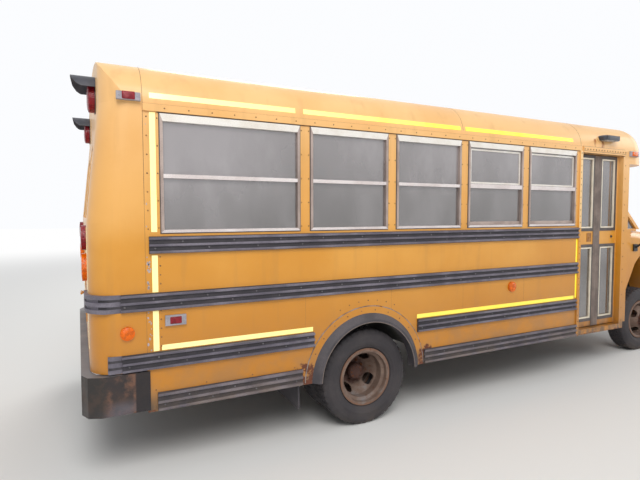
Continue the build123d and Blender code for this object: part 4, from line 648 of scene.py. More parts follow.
def side_rivets(side):
    """Heads on the pillars, gutter, panel joints, skirt and arch ring of one side."""
    y, out = side * HALF, (0, side, 0)
    rows = []
    for index, (x0, x1) in enumerate(WINDOWS):
        pillars = [x0 - 0.014, x1 + 0.014]
        for x in pillars:
            rows.append(((x, y, WINDOW_LOW + 0.03), (x, y, WINDOW_HIGH - 0.03), 0.15, out))
        rows.append(((x0 + 0.03, side * TRIM_Y, 2.184), (x1 - 0.03, side * TRIM_Y, 2.184), 0.155, out))
    rows.append(((REAR_SEAM + 0.020, y, 1.46), (REAR_SEAM + 0.020, y, 2.13), 0.11, out))
    rows.append(((REAR_SEAM + 0.085, y, 0.74), (REAR_SEAM + 0.085, y, 1.29), 0.055, out))
    rows.append(((at(-1.55), y, 0.47), (at(-0.62), y, 0.47), 0.31, out))
    form = bmesh.new()
    rivet_rows(form, rows, 0.0050, 0.0030)
    for radius, spacing, spread in ((0.499, 0.122, radians(92)), (0.572, 0.080, radians(25))):
        lift = 0.004 if radius < 0.525 else 0.0
        count = round(2 * spread * radius / spacing)
        for i in range(count + 1):
            angle = pi / 2 - spread + 2 * spread * i / count
            place = (ARCH_X + radius * cos(angle), side * (HALF + lift), ARCH_Z + radius * sin(angle))
            if place[2] > SKIRT + 0.02:
                add_dome(form, place, out, 0.0055, 0.0032)
    return form


for name, side in (("right", -1), ("left", 1)):
    piece("rivets_" + name, side_rivets(side), "rivet")

entrance_rivets = bmesh.new()
out = (0, -1, 0)
rivet_rows(entrance_rivets, [
    ((at(2.441), -TRIM_Y, 0.36), (at(2.441), -TRIM_Y, 2.14), 0.062, out),
    ((at(3.170), -HALF, 0.42), (at(3.170), -HALF, 2.05), 0.14, out),
], 0.0055, 0.0035)
rivet_rows(entrance_rivets, [((DOOR_REAR + 0.02, -HALF - 0.014, 2.182), (DOOR_FRONT + 0.005, -HALF - 0.014, 2.182),
                              0.044, out)], 0.0075, 0.005)
piece("rivets_entrance", entrance_rivets, "rivet")

header = bmesh.new()
add_box(header, (DOOR_REAR + 0.008, DOOR_FRONT + 0.017), (-HALF - 0.014, -HALF + 0.002), (2.149, 2.209), 0.004)
piece("entrance_header", header, "body_paint")
# A painted shadow line just under the header, a dark line along its upper edge and a thin one across its face.
header_line = bmesh.new()
for z, width in ((2.1475, 0.006), (2.2105, 0.005)):
    add_band(header_line, [((x, -HALF, z), (0, -1, 0)) for x in (DOOR_REAR + 0.008, DOOR_FRONT + 0.017)], width, 0.0018)
add_band(header_line, [((x, -HALF - 0.0138, 2.166), (0, -1, 0)) for x in (DOOR_REAR + 0.010, DOOR_FRONT + 0.015)],
         0.004, 0.0008)
piece("header_lines", header_line, "edge_line")

RAILS = ((1.310, -1.56, 2.40), (0.964, -1.74, 2.40), (0.602, -1.72, -0.50), (0.602, 0.48, 2.38),
         (0.341, -1.52, -0.59), (0.341, 0.55, 2.38))
fixings = bmesh.new()
for low, x0, x1 in RAILS:
    count = round((x1 - x0) / 0.165)
    for side in SIDES:
        for i in range(count + 1):
            place = (at(x0 + 0.02 + (x1 - x0 - 0.04) * i / count), side * (HALF + 0.010), low + (0.0725 if i % 2 else 0.0325))
            add_dome(fixings, place, (0, side, 0), 0.0060, 0.0035)
piece("rail_fixings", fixings, "rail_fixing")


# Painted shade in the grooves of the rails where they go round the rear corners

grooves = bmesh.new()
for bottom, top, rear in ((0.964, 1.072, -1.860), (0.602, 0.707, -1.815)):
    rib_height = 0.22 * (top - bottom)
    gap = (top - bottom - 3 * rib_height) / 2
    for side in SIDES:
        for i in range(2):
            z = bottom + (i + 1) * rib_height + (i + 0.5) * gap
            path = []
            for k in range(25):
                x = at(rear + (-1.738 - rear) * k / 24)
                hit, place, normal, _ = NODES["rub_rails"].ray_cast((x, side * 1.5, z + DATUM), (0, -side, 0))
                if hit and normal.y * side > 0.3:
                    path.append(((x, place.y, z), (normal.x, normal.y, 0)))
            if len(path) > 1:
                add_band(grooves, path, gap * 0.8, 0.0008)
piece("rail_grooves", grooves, "rail_groove_shade")


# Sealant round the arch rings, and flecks where paint has worn off beside the rear tape

sealant = bmesh.new()
for side in SIDES:
    path = []
    for k in range(61):
        angle = radians(-4 + 188 * k / 60)
        wave = 0.0012 * sin(k * 1.7)
        path.append(((ARCH_X + (0.5275 + wave) * cos(angle), side * HALF, ARCH_Z + (0.5275 + wave) * sin(angle)),
                     (0, side, 0)))
    path = [step for step in path if step[0][2] > SKIRT + 0.004]
    add_band(sealant, path, 0.009, 0.0025)
piece("arch_sealant", sealant, "sealant")

flare_edge = bmesh.new()
for side in SIDES:
    path = [((ARCH_X + 0.4125 * cos(angle), side * (HALF + 0.0448), ARCH_Z + 0.4125 * sin(angle)), (0, side, 0))
            for angle in (radians(1.5 + 177 * k / 60) for k in range(61))]
    add_band(flare_edge, path, 0.0045, 0.0012)
piece("flare_edge", flare_edge, "worn_seal")

random.seed(5)
flecks = bmesh.new()
for z0, z1, count in ((1.075, 1.300, 15), (0.720, 0.960, 12), (1.46, 2.10, 3)):
    for _ in range(count):
        x, z = at(random.uniform(-1.592, -1.567)), random.uniform(z0, z1)
        size = random.uniform(0.003, 0.008)
        outline = [(x + size * random.uniform(0.5, 1.2) * cos(tau * k / 7),
                    z + 1.5 * size * random.uniform(0.5, 1.2) * sin(tau * k / 7)) for k in range(7)]
        add_hull(flecks, [(px, -HALF + 0.0002, pz) for px, pz in outline],
                 [(px, -HALF - 0.0008, pz) for px, pz in outline])
piece("paint_flecks", flecks, "grey_flecks")


# Seams filled with sealant, and painted shadow lines along the gutter band

seams_and_shadow_lines = bmesh.new()
for seam in (REAR_SEAM, at(0.918), CAP_SEAM):
    path = [((seam, y, z - 0.0012 * (z > ROOF_TOP - 0.004)), n) for y, z, n in body_section()]
    if seam not in (REAR_SEAM, CAP_SEAM):
        path = [point for point in path if point[0][2] > EAVES + 0.02]
    if seam == CAP_SEAM:
        path = path[1:-1]
    add_band(seams_and_shadow_lines, path, 0.0035 if seam == CAP_SEAM else 0.0025, 0.0007)
for side in SIDES:
    y = side * HALF
    front = at(2.423)
    # Painted shadow lines along the gutter band: a thin one at its upper edge, partly sealant, and a wider one along
    # its lower edge.
    add_band(seams_and_shadow_lines, [((REAR_SEAM, y, 2.2075), (0, side, 0)), ((front, y, 2.2075), (0, side, 0))], 0.0035, 0.0010)
    add_band(seams_and_shadow_lines, [((REAR_SEAM + 0.080, y, 2.1605), (0, side, 0)), ((front, y, 2.1605), (0, side, 0))], 0.0060, 0.0010)
    add_band(seams_and_shadow_lines, [((REAR_SEAM, y, 0.60), (0, side, 0)), ((REAR_SEAM, y, 1.62), (0, side, 0))],
             0.0015, 0.0005)
    for x in (at(-0.534), at(0.203), at(0.940), at(1.678)):
        add_band(seams_and_shadow_lines, [((x, y, 0.715), (0, side, 0)), ((x, y, 0.962), (0, side, 0))], 0.0009, 0.0003)
piece("seams_and_shadow_lines", seams_and_shadow_lines, "edge_line")


# Reflective tape

def tape_on_side(form, side):
    """Strips along the roof's edge, up the ends of the side and above the lower rail."""
    out = (0, side, 0)
    lean = radians(10.8)
    roof_y, roof_z = EDGE_Y + EDGE_R * cos(lean), EAVES + EDGE_R * sin(lean)
    tilt = (0, side * cos(lean), sin(lean))
    for x0, x1 in ((-1.557, -0.606), (-0.545, 0.891), (0.946, 2.322)):
        add_band(form, [((at(x), side * roof_y, roof_z), tilt) for x in (x0, x1)], 0.035, 0.0014)
    y = side * HALF
    for x, z0, z1 in ((-1.543, 1.442, 2.158), (-1.543, 1.075, 1.300), (-1.543, 0.712, 0.960),
                      (2.418, 1.075, 1.300), (2.418, 0.722, 0.960)):
        add_band(form, [((at(x), y, z), out) for z in (z0, z1)], 0.034, 0.0012)
    for x0, x1 in ((-1.511, -0.476), (0.454, 2.385)):
        add_band(form, [((at(x), y, 0.729), out) for x in (x0, x1)], 0.032, 0.0012)


tape = bmesh.new()
for side in SIDES:
    tape_on_side(tape, side)
for y in (-1.00, 1.00):
    add_band(tape, [((REAR_FACE, y, z), (-1, 0, 0)) for z in (0.72, 1.47)], 0.034, 0.0012)
piece("tape", tape, "reflective_tape")


# Window seals, sashes and latches

window_seals = bmesh.new()
sashes = bmesh.new()
lower_sashes = bmesh.new()
latches = bmesh.new()
for side in SIDES:
    for index, (x0, x1) in enumerate(WINDOWS):
        add_ring(window_seals, (x0 + 0.001, x1 - 0.001), (WINDOW_LOW + 0.001, WINDOW_HIGH - 0.001),
                 0.007, HALF - 0.001, 0.0035, side)
        if index >= 3:
            add_ring(sashes, (x0 + 0.040, x1 - 0.040), (1.822, 2.086), 0.014, HALF - 0.022, 0.014, side)
            add_ring(lower_sashes, (x0 + 0.030, x1 - 0.040), (1.482, 1.752), 0.013, HALF - 0.026, 0.010, side)
            add_box(lower_sashes, (x0 + 0.020, x1 - 0.020), (side * (HALF - 0.026), side * (HALF - 0.006)),
                    (1.455, 1.484), 0.002)
        for x in (x0 + 0.11, x1 - 0.11):
            add_box(latches, (x - 0.022, x + 0.022), (side * (HALF - 0.045), side * (HALF - 0.020)),
                    (1.795, 1.812), 0.002)
piece("window_seals", window_seals, "seal_rubber")
piece("window_sashes", sashes, "pale_aluminium")
piece("lower_sashes", lower_sashes, "bronze_aluminium")
piece("window_latches", latches, "mirror_housing")


# Entrance leaves: seals, glass frames and grab rails

LEAF_Y = 1.159
LEAF_LIGHTS = ((0.478, 1.208), (1.404, 2.111))
for name, way in (("rear", 1), ("front", -1)):
    body = "entrance_leaf_" + name
    low, high = box("entrance_glass_" + name)
    light = (low.x, high.x)
    seals, frames = bmesh.new(), bmesh.new()
    for z in LEAF_LIGHTS:
        add_ring(seals, (light[0] - 0.001, light[1] + 0.001), z, 0.030, LEAF_Y, 0.006, -1)
        add_ring(frames, (light[0] + 0.014, light[1] - 0.014), (z[0] + 0.014, z[1] - 0.014), 0.017,
                 LEAF_Y - 0.010, 0.014, -1)
    leaf_low, leaf_high = box(body)
    edge = leaf_high.x if way > 0 else leaf_low.x
    inner = edge - way * 0.046
    centre_seal = bmesh.new()
    add_box(centre_seal, sorted((inner, edge + way * 0.0045)), (-LEAF_Y - 0.008, -LEAF_Y + 0.034),
            (leaf_low.z + 0.002, leaf_high.z - 0.002), 0.003)
    for share in (0.3, 0.7):
        x = inner + (edge - inner) * share
        add_box(centre_seal, (x - 0.003, x + 0.003), (-LEAF_Y - 0.0105, -LEAF_Y), (leaf_low.z + 0.004, leaf_high.z - 0.004), 0.001)
    piece("centre_seal_" + name, centre_seal, "worn_seal", body)
    fittings = bmesh.new()
    if way > 0:
        add_ring(fittings, (inner - 0.092, inner - 0.030), (1.270, 1.350), 0.004, LEAF_Y - 0.001, 0.005, -1)
        add_box(fittings, (inner - 0.092, inner - 0.030), (-LEAF_Y - 0.003, -LEAF_Y + 0.002), (1.270, 1.350), 0.001)
        add_dome(fittings, (inner - 0.061, -LEAF_Y - 0.003, 1.310), (0, -1, 0), 0.013, 0.007, 12)
        piece("leaf_lock_plate", fittings, "lock_plate", body)
    else:
        add_dome(fittings, (leaf_high.x - 0.082, -LEAF_Y, 1.312), (0, -1, 0), 0.014, 0.012, 12)
        piece("leaf_knob", fittings, "mirror_housing", body)
    piece("leaf_seals_" + name, seals, "seal_rubber", body)
    piece("leaf_frames_" + name, frames, "cream_aluminium", body)


# Tyres with a road tread

def tyre_profile(half, rim_r, outer_r):
    """(radius, distance from the middle, part of the tread) across the tyre, bead to bead."""
    side = [(rim_r - 0.015, half - 0.038, 0), (rim_r + 0.004, half - 0.034, 0), (rim_r + 0.012, half - 0.020, 0),
            (rim_r + 0.022, half - 0.014, 0), (rim_r + 0.034, half - 0.006, 0), (rim_r + 0.050, half - 0.001, 0),
            (rim_r + 0.053, half - 0.0002, 0), (rim_r + 0.060, half - 0.0002, 0), (rim_r + 0.063, half - 0.001, 0),
            (rim_r + 0.082, half - 0.002, 0), (outer_r - 0.044, half - 0.006, 0),
            (outer_r - 0.030, half - 0.013, 0), (outer_r - 0.016, half - 0.021, 1), (outer_r - 0.008, half - 0.028, 1)]
    crown = []
    ribs = 6
    band = half - 0.034
    for i in range(ribs):
        left = band - 2 * band * i / ribs
        right = band - 2 * band * (i + 1) / ribs
        groove = 0.0045
        for a, sunk in ((left - (groove if i else 0), 0), (right + (groove if i < ribs - 1 else 0), 0)):
            crown.append((outer_r - 0.0035 * (a / band) ** 2 - 0.0002, a, 2 + sunk))
        if i < ribs - 1:
            for a in (right + groove * 0.7, right - groove * 0.7):
                crown.append((outer_r - 0.0095, a, 9))
    other = [(r, -a, part) for r, a, part in reversed(side)]
    return side + crown + other


def tyre_mesh(form, x, y, half, rim_r, outer_r, segments=168):
    profile = tyre_profile(half, rim_r, outer_r)
    rings = []
    for i in range(segments):
        angle = tau * i / segments
        ring = []
        for r, a, part in profile:
            depth = 0.0
            if part in (1, 2) and (i + (2 if a > 0 else 0)) % 4 == 0:
                depth = 0.007 if part == 2 else 0.005
            skew = 0.35 * (a / half) * tau / segments * (1 if part else 0)
            radius = r - depth
            ring.append(form.verts.new((x + radius * cos(angle + skew), y + a, WHEEL_Z + radius * sin(angle + skew))))
        rings.append(ring)
    for i in range(segments):
        here, after = rings[i], rings[(i + 1) % segments]
        for j in range(len(profile) - 1):
            form.faces.new((here[j], here[j + 1], after[j + 1], after[j]))
        form.faces.new((here[-1], here[0], after[0], after[-1]))


TYRE_R = (box("rear_tyres_right")[1].z - box("rear_tyres_right")[0].z) / 2
TYRE_HALF = (box("front_tyre_right")[1].y - box("front_tyre_right")[0].y) / 2
RIM_R = (box("front_rim_right")[1].z - box("front_rim_right")[0].z) / 2
DUAL_SPACING = box("rear_tyres_right")[1].y - box("rear_tyres_right")[0].y - 2 * TYRE_HALF

for name, side in (("right", -1), ("left", 1)):
    for node, body in (("rear_tyres_" + name, "rear_wheels_" + name), ("front_tyre_" + name, "front_wheel_" + name)):
        form = bmesh.new()
        centre = middle(node, 1)
        spots = (centre - DUAL_SPACING / 2, centre + DUAL_SPACING / 2) if "rear" in node else (centre,)
        for spot in spots:
            tyre_mesh(form, middle(node, 0), spot, TYRE_HALF, RIM_R, TYRE_R)
        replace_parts(piece(node + "_tread", form, "tyre_rubber", body, smooth=False), node)


# Wheel nuts and hub caps

def add_nut(form, place, normal, radius, height):
    add_dome(form, place, normal, radius, height, 6)
    add_dome(form, Vector(place) + Vector(normal) * height * 0.8, normal, radius * 0.5, height * 0.9, 8)


for name, side in (("right", -1), ("left", 1)):
    out = (0, side, 0)
    for kind, body in (("rear_rims_", "rear_wheels_"), ("front_rim_", "front_wheel_")):
        node = kind + name
        x = middle(node, 0)
        face = (0.957 if kind == "rear_rims_" else 0.986) + 0.0115
        form = bmesh.new()
        for i in range(8):
            angle = tau * i / 8 + pi / 8
            add_nut(form, (x + 0.0825 * cos(angle), side * face, WHEEL_Z + 0.0825 * sin(angle)), out, 0.0135, 0.016)
        hub_face = face + 0.0635
        for i in range(8):
            angle = tau * i / 8
            add_nut(form, (x + 0.042 * cos(angle), side * hub_face, WHEEL_Z + 0.042 * sin(angle)), out, 0.007, 0.006)
        piece(node + "_nuts", form, "hub_rust", body + name)


# Lamp lenses over their housings

def add_lens(form, place, normal, radius, depth, rings=6, sides=32):
    """Round domed lens, closed behind."""
    turn = Vector((0, 0, 1)).rotation_difference(Vector(normal)).to_matrix()
    place = Vector(place)
    loops = []
    for k in range(rings + 1):
        angle = (pi / 2) * k / rings
        share, rise = cos(angle) ** 0.6, sin(angle)
        if k == rings:
            break
        loops.append([form.verts.new(place + turn @ Vector((radius * share * cos(tau * i / sides),
                                                            radius * share * sin(tau * i / sides), depth * rise)))
                      for i in range(sides)])
    tip = form.verts.new(place + turn @ Vector((0, 0, depth)))
    for low, high in zip(loops, loops[1:]):
        for i in range(sides):
            j = (i + 1) % sides
            form.faces.new((low[i], low[j], high[j], high[i]))
    for i in range(sides):
        form.faces.new((loops[-1][i], loops[-1][(i + 1) % sides], tip))
    form.faces.new(reversed(loops[0]))


WARNING_Y, WARNING_Z, FRONT_WARNING_Z = 0.750, 2.302, 2.242
WARNING_R = 0.090
REAR_LAMP_X = at(-1.832)
FRONT_LAMP_X = CAP_FRONT
HOOD_R, HOOD_WALL, HOOD_REACH = 0.138, 0.004, 0.1435
# How far the hood reaches out at heights above the lamp's centre
HOOD_EDGE = ((0.052, 0.084), (0.066, 0.108), (0.098, 0.132), (0.138, HOOD_REACH))


def hood_reach(height):
    for (z0, x0), (z1, x1) in zip(HOOD_EDGE, HOOD_EDGE[1:]):
        if height <= z1:
            return x0 + (x1 - x0) * max(0.0, height - z0) / (z1 - z0)
    return HOOD_REACH


def add_turned(form, x, y, z, profile, way, sides=40):
    """Closed round form about a lengthwise axis through y and z, from (reach, radius) pairs."""
    rings = [[form.verts.new((x + way * reach, y + radius * cos(tau * i / sides), z + radius * sin(tau * i / sides)))
              for i in range(sides)] for reach, radius in profile]
    for low, high in zip(rings, rings[1:]):
        for i in range(sides):
            j = (i + 1) % sides
            form.faces.new((low[i], low[j], high[j], high[i]))
    form.faces.new(rings[0])
    form.faces.new(reversed(rings[-1]))


def add_warning_lamp(form, x, y, z, way):
    """Round lamp and its hood, whose side edges curve down towards the wall."""
    add_turned(form, x, y, z, ((-0.004, WARNING_R + 0.007), (0.006, WARNING_R + 0.007)), way)
    add_turned(form, x, y, z, ((0.006, WARNING_R), (0.036, WARNING_R), (0.042, WARNING_R - 0.004),
                               (0.048, WARNING_R - 0.020), (0.051, WARNING_R - 0.050)), way)
    spread = acos(HOOD_EDGE[0][0] / HOOD_R)
    steps = 36
    rings = []
    for k in range(steps + 1):
        angle = spread * (2 * k / steps - 1)
        reach = hood_reach(HOOD_R * cos(angle))
        ring = []
        for radius, out in ((HOOD_R, -0.004), (HOOD_R, reach), (HOOD_R - HOOD_WALL, reach), (HOOD_R - HOOD_WALL, -0.004)):
            ring.append(form.verts.new((x + way * out, y + radius * sin(angle), z + radius * cos(angle))))
        rings.append(ring)
    for low, high in zip(rings, rings[1:]):
        for i in range(4):
            form.faces.new((low[i], low[(i + 1) % 4], high[(i + 1) % 4], high[i]))
    form.faces.new(rings[0])
    form.faces.new(reversed(rings[-1]))


LAMP_FINISHES = ["dark_hood", "red_lens", "amber_lens", "clear_lens", "grey_housing"]


def lamp_finish(p):
    """Housing, red, amber, clear or grey, by the place on the bus."""
    side = abs(p.y)
    if p.x < REAR_LAMP_X - 0.0065 and (side - WARNING_Y)**2 + (p.z - WARNING_Z)**2 < (WARNING_R + 0.001)**2:
        return 1
    if p.x > FRONT_LAMP_X + 0.025 and (side - WARNING_Y)**2 + (p.z - FRONT_WARNING_Z)**2 < (WARNING_R + 0.001)**2:
        return 1
    if p.x > FRONT_AXLE:
        return 3
    if p.x < REAR_FACE + 0.001 and p.z < 1.5:
        return 2 if p.z < 1.305 else 1
    if side > HALF - 0.02 and p.z < 0.95 and (abs(p.x - at(1.519)) < 0.05 or abs(p.x - at(-1.707)) < 0.05):
        return 2
    if abs(p.x - at(-1.674)) < 0.08 or abs(p.x - at(-1.427)) < 0.08:
        return 4
    return 0


lamp_set = bmesh.new()
lamp_set.from_mesh(NODES["lamps"].data)
bmesh.ops.translate(lamp_set, verts=lamp_set.verts, vec=(0, 0, -DATUM))
plain = [face for face in lamp_set.faces
         if face.calc_center_median().z > 2.1 and face.calc_center_median().x < REAR_LAMP_X + 0.03
         and abs(face.calc_center_median().y) < 1.0]
bmesh.ops.delete(lamp_set, geom=plain, context="FACES")
for side in SIDES:
    add_warning_lamp(lamp_set, REAR_LAMP_X, side * WARNING_Y, WARNING_Z, -1)
lamp_set = piece("lamp_set", lamp_set, "dark_hood")
repaint(lamp_set, LAMP_FINISHES, lamp_finish)
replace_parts(lamp_set, "lamps")

red, amber, clear, housings = bmesh.new(), bmesh.new(), bmesh.new(), bmesh.new()
for y in (-0.82, 0.82):
    add_lens(amber, (REAR_FACE - 0.024, y, 1.210), (-1, 0, 0), 0.084, 0.009)
    add_lens(red, (REAR_FACE - 0.024, y, 1.400), (-1, 0, 0), 0.074, 0.009)
for side in SIDES:
    out = (0, side, 0)
    add_lens(amber, (at(1.519), side * (HALF + 0.008), 0.895), out, 0.043, 0.012)
    add_lens(amber, (at(-1.707), side * (HALF + 0.008), 0.839), out, 0.040, 0.012)
    add_box(red, (at(-1.674) - 0.036, at(-1.674) + 0.036), (side * (HALF - 0.01), side * (HALF + 0.032)),
            (2.216, 2.261), 0.006)
    add_box(red, (at(-1.427) - 0.035, at(-1.427) + 0.035), (side * HALF, side * (HALF + 0.020)),
            (0.873, 0.917), 0.005)
    add_box(housings, (at(3.225), at(3.372)), (side * (HALF - 0.035), side * (HALF + 0.018)), (2.148, 2.204), 0.006)
    add_box(amber, (at(3.254), at(3.346)), (side * (HALF - 0.03), side * (HALF + 0.026)), (2.153, 2.199), 0.006)
    for x, z, reach in ((at(-1.674), 2.236, 0.050), (at(-1.427), 0.895, 0.049)):
        proud = HALF + (0.026 if z > 2 else 0.016)
        for dx in (-reach, reach):
            add_dome(housings, (x + dx, side * proud, z), out, 0.0055, 0.003)
add_box(clear, (at(2.762), at(2.958)), (-HALF - 0.054, -HALF + 0.01), (2.279, 2.290), 0.004)
cover = bmesh.new()
stages = []
for z, inset in ((2.286, 0.0), (2.316, 0.0), (2.330, 0.010), (2.337, 0.032)):
    x0, x1, y0, y1 = at(2.738) + inset, at(2.982) - inset, -HALF - 0.064 + inset * 0.8, -HALF + 0.05
    stages.append([(x0, y1, z), (x0, y0 + 0.034, z), (x0 + 0.010, y0 + 0.016, z), (x0 + 0.030, y0 + 0.004, z), (x0 + 0.052, y0, z),
                   (x1 - 0.052, y0, z), (x1 - 0.030, y0 + 0.004, z), (x1 - 0.010, y0 + 0.016, z), (x1, y0 + 0.034, z), (x1, y1, z)])
levels = [[cover.verts.new(p) for p in stage] for stage in stages]
for low, high in zip(levels, levels[1:]):
    for i in range(10):
        cover.faces.new((low[i], low[(i + 1) % 10], high[(i + 1) % 10], high[i]))
cover.faces.new(levels[0])
cover.faces.new(levels[-1])
piece("door_lamp_cover", cover, "dark_hood")
piece("lamp_housings", housings, "grey_housing")
piece("clear_lenses", clear, "clear_lens")
piece("red_lenses", red, "red_lens", smooth=True)
piece("amber_lenses", amber, "amber_lens", smooth=True)


# Seats: cushions and backs with piping

def grid_stops(half, radius, inner):
    """Coordinates along one axis: close together in the rounded ends, even between them."""
    ends = [half - radius * (1 - cos(pi / 2 * k / 4)) for k in range(4)]
    flat = half - radius
    between = [flat - 2 * flat * k / inner for k in range(inner + 1)]
    return sorted(set(round(v, 5) for v in ends + between + [-e for e in ends]))


def pad_form(half, radius, crown, inner=(6, 10, 3)):
    """Upholstered block: rounded edges, crowned top and front, sides drawn in a little."""
    stops = [grid_stops(h, radius, n) for h, n in zip(half, inner)]
    form = bmesh.new()
    cache = {}

    def vertex(p):
        key = tuple(round(c, 5) for c in p)
        if key not in cache:
            q = Vector([max(-(h - radius), min(h - radius, c)) for c, h in zip(p, half)])
            d = Vector(p) - q
            if d.length > 0:
                q = q + d.normalized() * radius
            fx, fy, fz = (1 - (q[i] / half[i]) ** 2 for i in range(3))
            swell = Vector((0, 0, 0))
            swell.z = crown * max(0, fx) * max(0, fy) ** 0.5 * (1 if q.z > 0 else -0.2) * abs(q.z) / half[2]
            swell.x = crown * 0.5 * max(0, fz) * max(0, fy) ** 0.5 * q.x / half[0]
            cache[key] = form.verts.new(q + swell)
        return cache[key]

    for axis in range(3):
        u, v = [i for i in range(3) if i != axis]
        for sign in (-1, 1):
            for a0, a1 in zip(stops[u], stops[u][1:]):
                for b0, b1 in zip(stops[v], stops[v][1:]):
                    corners = []
                    for a, b in ((a0, b0), (a1, b0), (a1, b1), (a0, b1)):
                        p = [0.0, 0.0, 0.0]
                        p[axis], p[u], p[v] = sign * half[axis], a, b
                        corners.append(vertex(p))
                    form.faces.new(corners)
    return form


def add_piping(form, half, height, radius):
    """Round piping along the pad's outline at a height."""
    corner = 0.03
    path = []
    for cx, cy, turn in ((1, 1, 0), (-1, 1, 1), (-1, -1, 2), (1, -1, 3)):
        for k in range(5):
            angle = pi / 2 * (turn + k / 4)
            path.append(Vector((cx * (half[0] - corner) + corner * cos(angle),
                                cy * (half[1] - corner) + corner * sin(angle), height)))
    rings = []
    for index, point in enumerate(path):
        ahead = (path[(index + 1) % len(path)] - path[index - 1]).normalized()
        side = ahead.cross(Vector((0, 0, 1)))
        rings.append([form.verts.new(point + side * radius * cos(tau * i / 6) + Vector((0, 0, radius * sin(tau * i / 6))))
                      for i in range(6)])
    for index, ring in enumerate(rings):
        after = rings[(index + 1) % len(rings)]
        for i in range(6):
            j = (i + 1) % 6
            form.faces.new((ring[i], ring[j], after[j], after[i]))


def pad(name, centre, half, turn, crown):
    form = pad_form(half, min(half) * 0.55, crown)
    add_piping(form, (half[0] - 0.002, half[1] - 0.002), half[2] * 0.45, 0.004)
    matrix = Matrix.Translation(Vector(centre)) @ Matrix.Rotation(turn, 4, "Y")
    form.transform(matrix)
    obj = piece(name, form, "seat_vinyl", smooth=True)
    return obj


BENCH_PITCH = 0.737
SEAT_LEAN = radians(-9.2)
seat_frames = bmesh.new()
first_pad = None
for row in range(5):
    station = at(-1.530 + BENCH_PITCH * row)
    for side in SIDES:
        y = side * 0.683
        name = "bench_%d_%s" % (row + 1, "left" if side > 0 else "right")
        cushion = pad(name + "_cushion", (station + 0.228, y, 1.100), (0.198, 0.484, 0.052), radians(-2), 0.010)
        back = pad(name + "_back", (station - 0.058, y, 1.440), (0.310, 0.484, 0.046), radians(90) + SEAT_LEAN, 0.010)
        first_pad = first_pad or cushion
        inner = side * 0.250
        for x in (station + 0.050, station + 0.345):
            add_box(seat_frames, (x, x + 0.028), (inner - 0.014, inner + 0.014), (0.7305, 1.050), 0.003)
        add_box(seat_frames, (station + 0.02, station + 0.40), (inner - 0.016, inner + 0.016), (1.030, 1.052), 0.003)
        add_box(seat_frames, (station + 0.05, station + 0.373), (inner - 0.03, inner + 0.03), (0.7305, 0.735), 0.001)
driver = at(2.800)
pad("driver_cushion", (driver + 0.255, 0.540, 0.990), (0.215, 0.232, 0.056), radians(-2), 0.014)
pad("driver_back", (driver - 0.062, 0.540, 1.330), (0.310, 0.232, 0.050), radians(90) + SEAT_LEAN, 0.014)
add_box(seat_frames, (driver + 0.10, driver + 0.37), (0.41, 0.67), (0.7305, 0.930), 0.006)
frames = piece("seat_frames", seat_frames, "mirror_housing")
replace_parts(frames, "seats")


# Mirror faces

faces = bmesh.new()
back_x = at(3.725)
for side in SIDES:
    for z0, z1, inset in ((1.480, 1.790, 0.016), (1.330, 1.450, 0.014)):
        add_box(faces, (back_x - 0.002, back_x + 0.003), (side * (1.165 + inset), side * (1.335 - inset)),
                (z0 + inset, z1 - inset), 0.001)
piece("mirror_faces", faces, "mirror_glass")


# Floor, light and camera

FADE = (6.0, 22.0)


def studio_material(name, colour):
    """Pale floor that keeps shadows near the object and goes white far from it."""
    material = bpy.data.materials.new(name)
    material.use_nodes = True
    tree = material.node_tree
    shader = tree.nodes["Principled BSDF"]
    shader.inputs["Base Color"].default_value = (*colour, 1)
    shader.inputs["Roughness"].default_value = 0.9
    shader.inputs["Emission Color"].default_value = (1, 1, 1, 1)
    coords = tree.nodes.new("ShaderNodeTexCoord")
    distance = tree.nodes.new("ShaderNodeVectorMath")
    distance.operation = "LENGTH"
    tree.links.new(coords.outputs["Object"], distance.inputs[0])
    fade = tree.nodes.new("ShaderNodeMapRange")
    fade.interpolation_type = "SMOOTHSTEP"
    fade.inputs["From Min"].default_value, fade.inputs["From Max"].default_value = FADE
    tree.links.new(distance.outputs["Value"], fade.inputs["Value"])
    light = tree.nodes.new("ShaderNodeEmission")
    blend = tree.nodes.new("ShaderNodeMixShader")
    tree.links.new(fade.outputs["Result"], blend.inputs[0])
    tree.links.new(shader.outputs[0], blend.inputs[1])
    tree.links.new(light.outputs[0], blend.inputs[2])
    tree.links.new(blend.outputs[0], tree.nodes["Material Output"].inputs["Surface"])
    return material


floor_mesh = bpy.data.meshes.new("floor_plane")
SPREAD = 60.0
floor_mesh.from_pydata([(-SPREAD, -SPREAD, 0), (SPREAD, -SPREAD, 0), (SPREAD, SPREAD, 0), (-SPREAD, SPREAD, 0)],
                       [], [(0, 1, 2, 3)])
floor = bpy.data.objects.new("studio_floor", floor_mesh)
floor.data.materials.append(studio_material("studio_floor", (0.78, 0.78, 0.77)))
bpy.context.scene.collection.objects.link(floor)

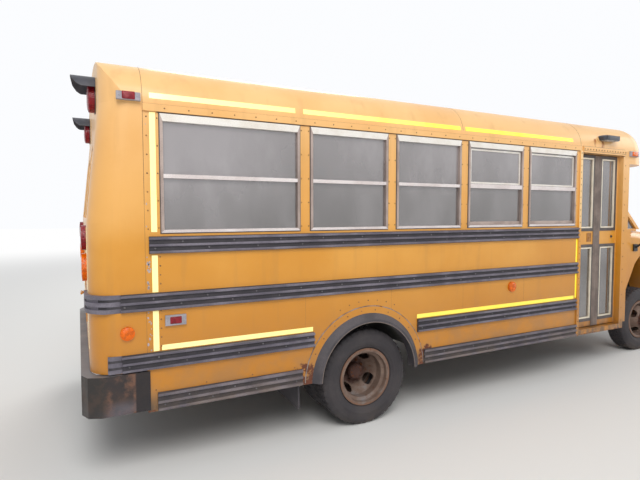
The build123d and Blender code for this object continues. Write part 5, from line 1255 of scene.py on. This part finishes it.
world = bpy.data.worlds.new("studio")
bpy.context.scene.world = world
world.use_nodes = True
tree = world.node_tree
background = tree.nodes["Background"]
path = tree.nodes.new("ShaderNodeLightPath")
direct = tree.nodes.new("ShaderNodeMath")
direct.operation = "MAXIMUM"
tree.links.new(path.outputs["Is Camera Ray"], direct.inputs[0])
shiny = tree.nodes.new("ShaderNodeMath")
shiny.operation = "MAXIMUM"
tree.links.new(path.outputs["Is Glossy Ray"], shiny.inputs[0])
tree.links.new(path.outputs["Is Transmission Ray"], shiny.inputs[1])
tree.links.new(shiny.outputs[0], direct.inputs[1])
strength = tree.nodes.new("ShaderNodeMapRange")
FILL, SHOWN = 0.50, 1.0
strength.inputs["To Min"].default_value = FILL
strength.inputs["To Max"].default_value = SHOWN
tree.links.new(direct.outputs[0], strength.inputs["Value"])
tree.links.new(strength.outputs["Result"], background.inputs["Strength"])
background.inputs["Color"].default_value = (0.97, 0.98, 1.0, 1)


def soft_light(name, place, aim, size, power, colour=(1, 1, 1)):
    light = bpy.data.lights.new(name, "AREA")
    light.shape = "DISK"
    light.size = size
    light.energy = power
    light.color = colour
    obj = bpy.data.objects.new(name, light)
    obj.location = place
    obj.rotation_euler = (Vector(aim) - Vector(place)).to_track_quat("-Z", "Y").to_euler()
    bpy.context.scene.collection.objects.link(obj)


soft_light("key", (-4.0, -7.5, 8.0), (0, 0, 1.2), 6.0, 640, (1.0, 0.98, 0.95))
soft_light("back", (2.0, 9.0, 9.0), (0, 0, 1.0), 7.0, 600, (1.0, 0.99, 0.96))
soft_light("front", (10.0, -3.0, 5.0), (2.0, 0, 1.0), 5.0, 240)

LENS_PX, FRAME_W, SENSOR = 475.36, 640.0, 36.0
YAW, PITCH, ROLL = radians(63.0665), radians(-3.0783), radians(-0.0789)
CAMERA_AT = (at(-1.95107), -4.23525, 1.54664 + DATUM)
camera_data = bpy.data.cameras.new("camera")
camera_data.sensor_width = SENSOR
camera_data.lens = LENS_PX * SENSOR / FRAME_W
camera = bpy.data.objects.new("camera", camera_data)
ahead = Vector((cos(PITCH) * cos(YAW), cos(PITCH) * sin(YAW), sin(PITCH)))
right = Vector((sin(YAW), -cos(YAW), 0))
up = right.cross(ahead)
right_rolled = cos(ROLL) * right + sin(ROLL) * up
up_rolled = right_rolled.cross(ahead)
camera.matrix_world = Matrix.Translation(CAMERA_AT) @ Matrix((right_rolled, up_rolled, -ahead)).transposed().to_4x4()
bpy.context.scene.collection.objects.link(camera)
bpy.context.scene.camera = camera
bpy.context.scene.view_settings.view_transform = "Standard"
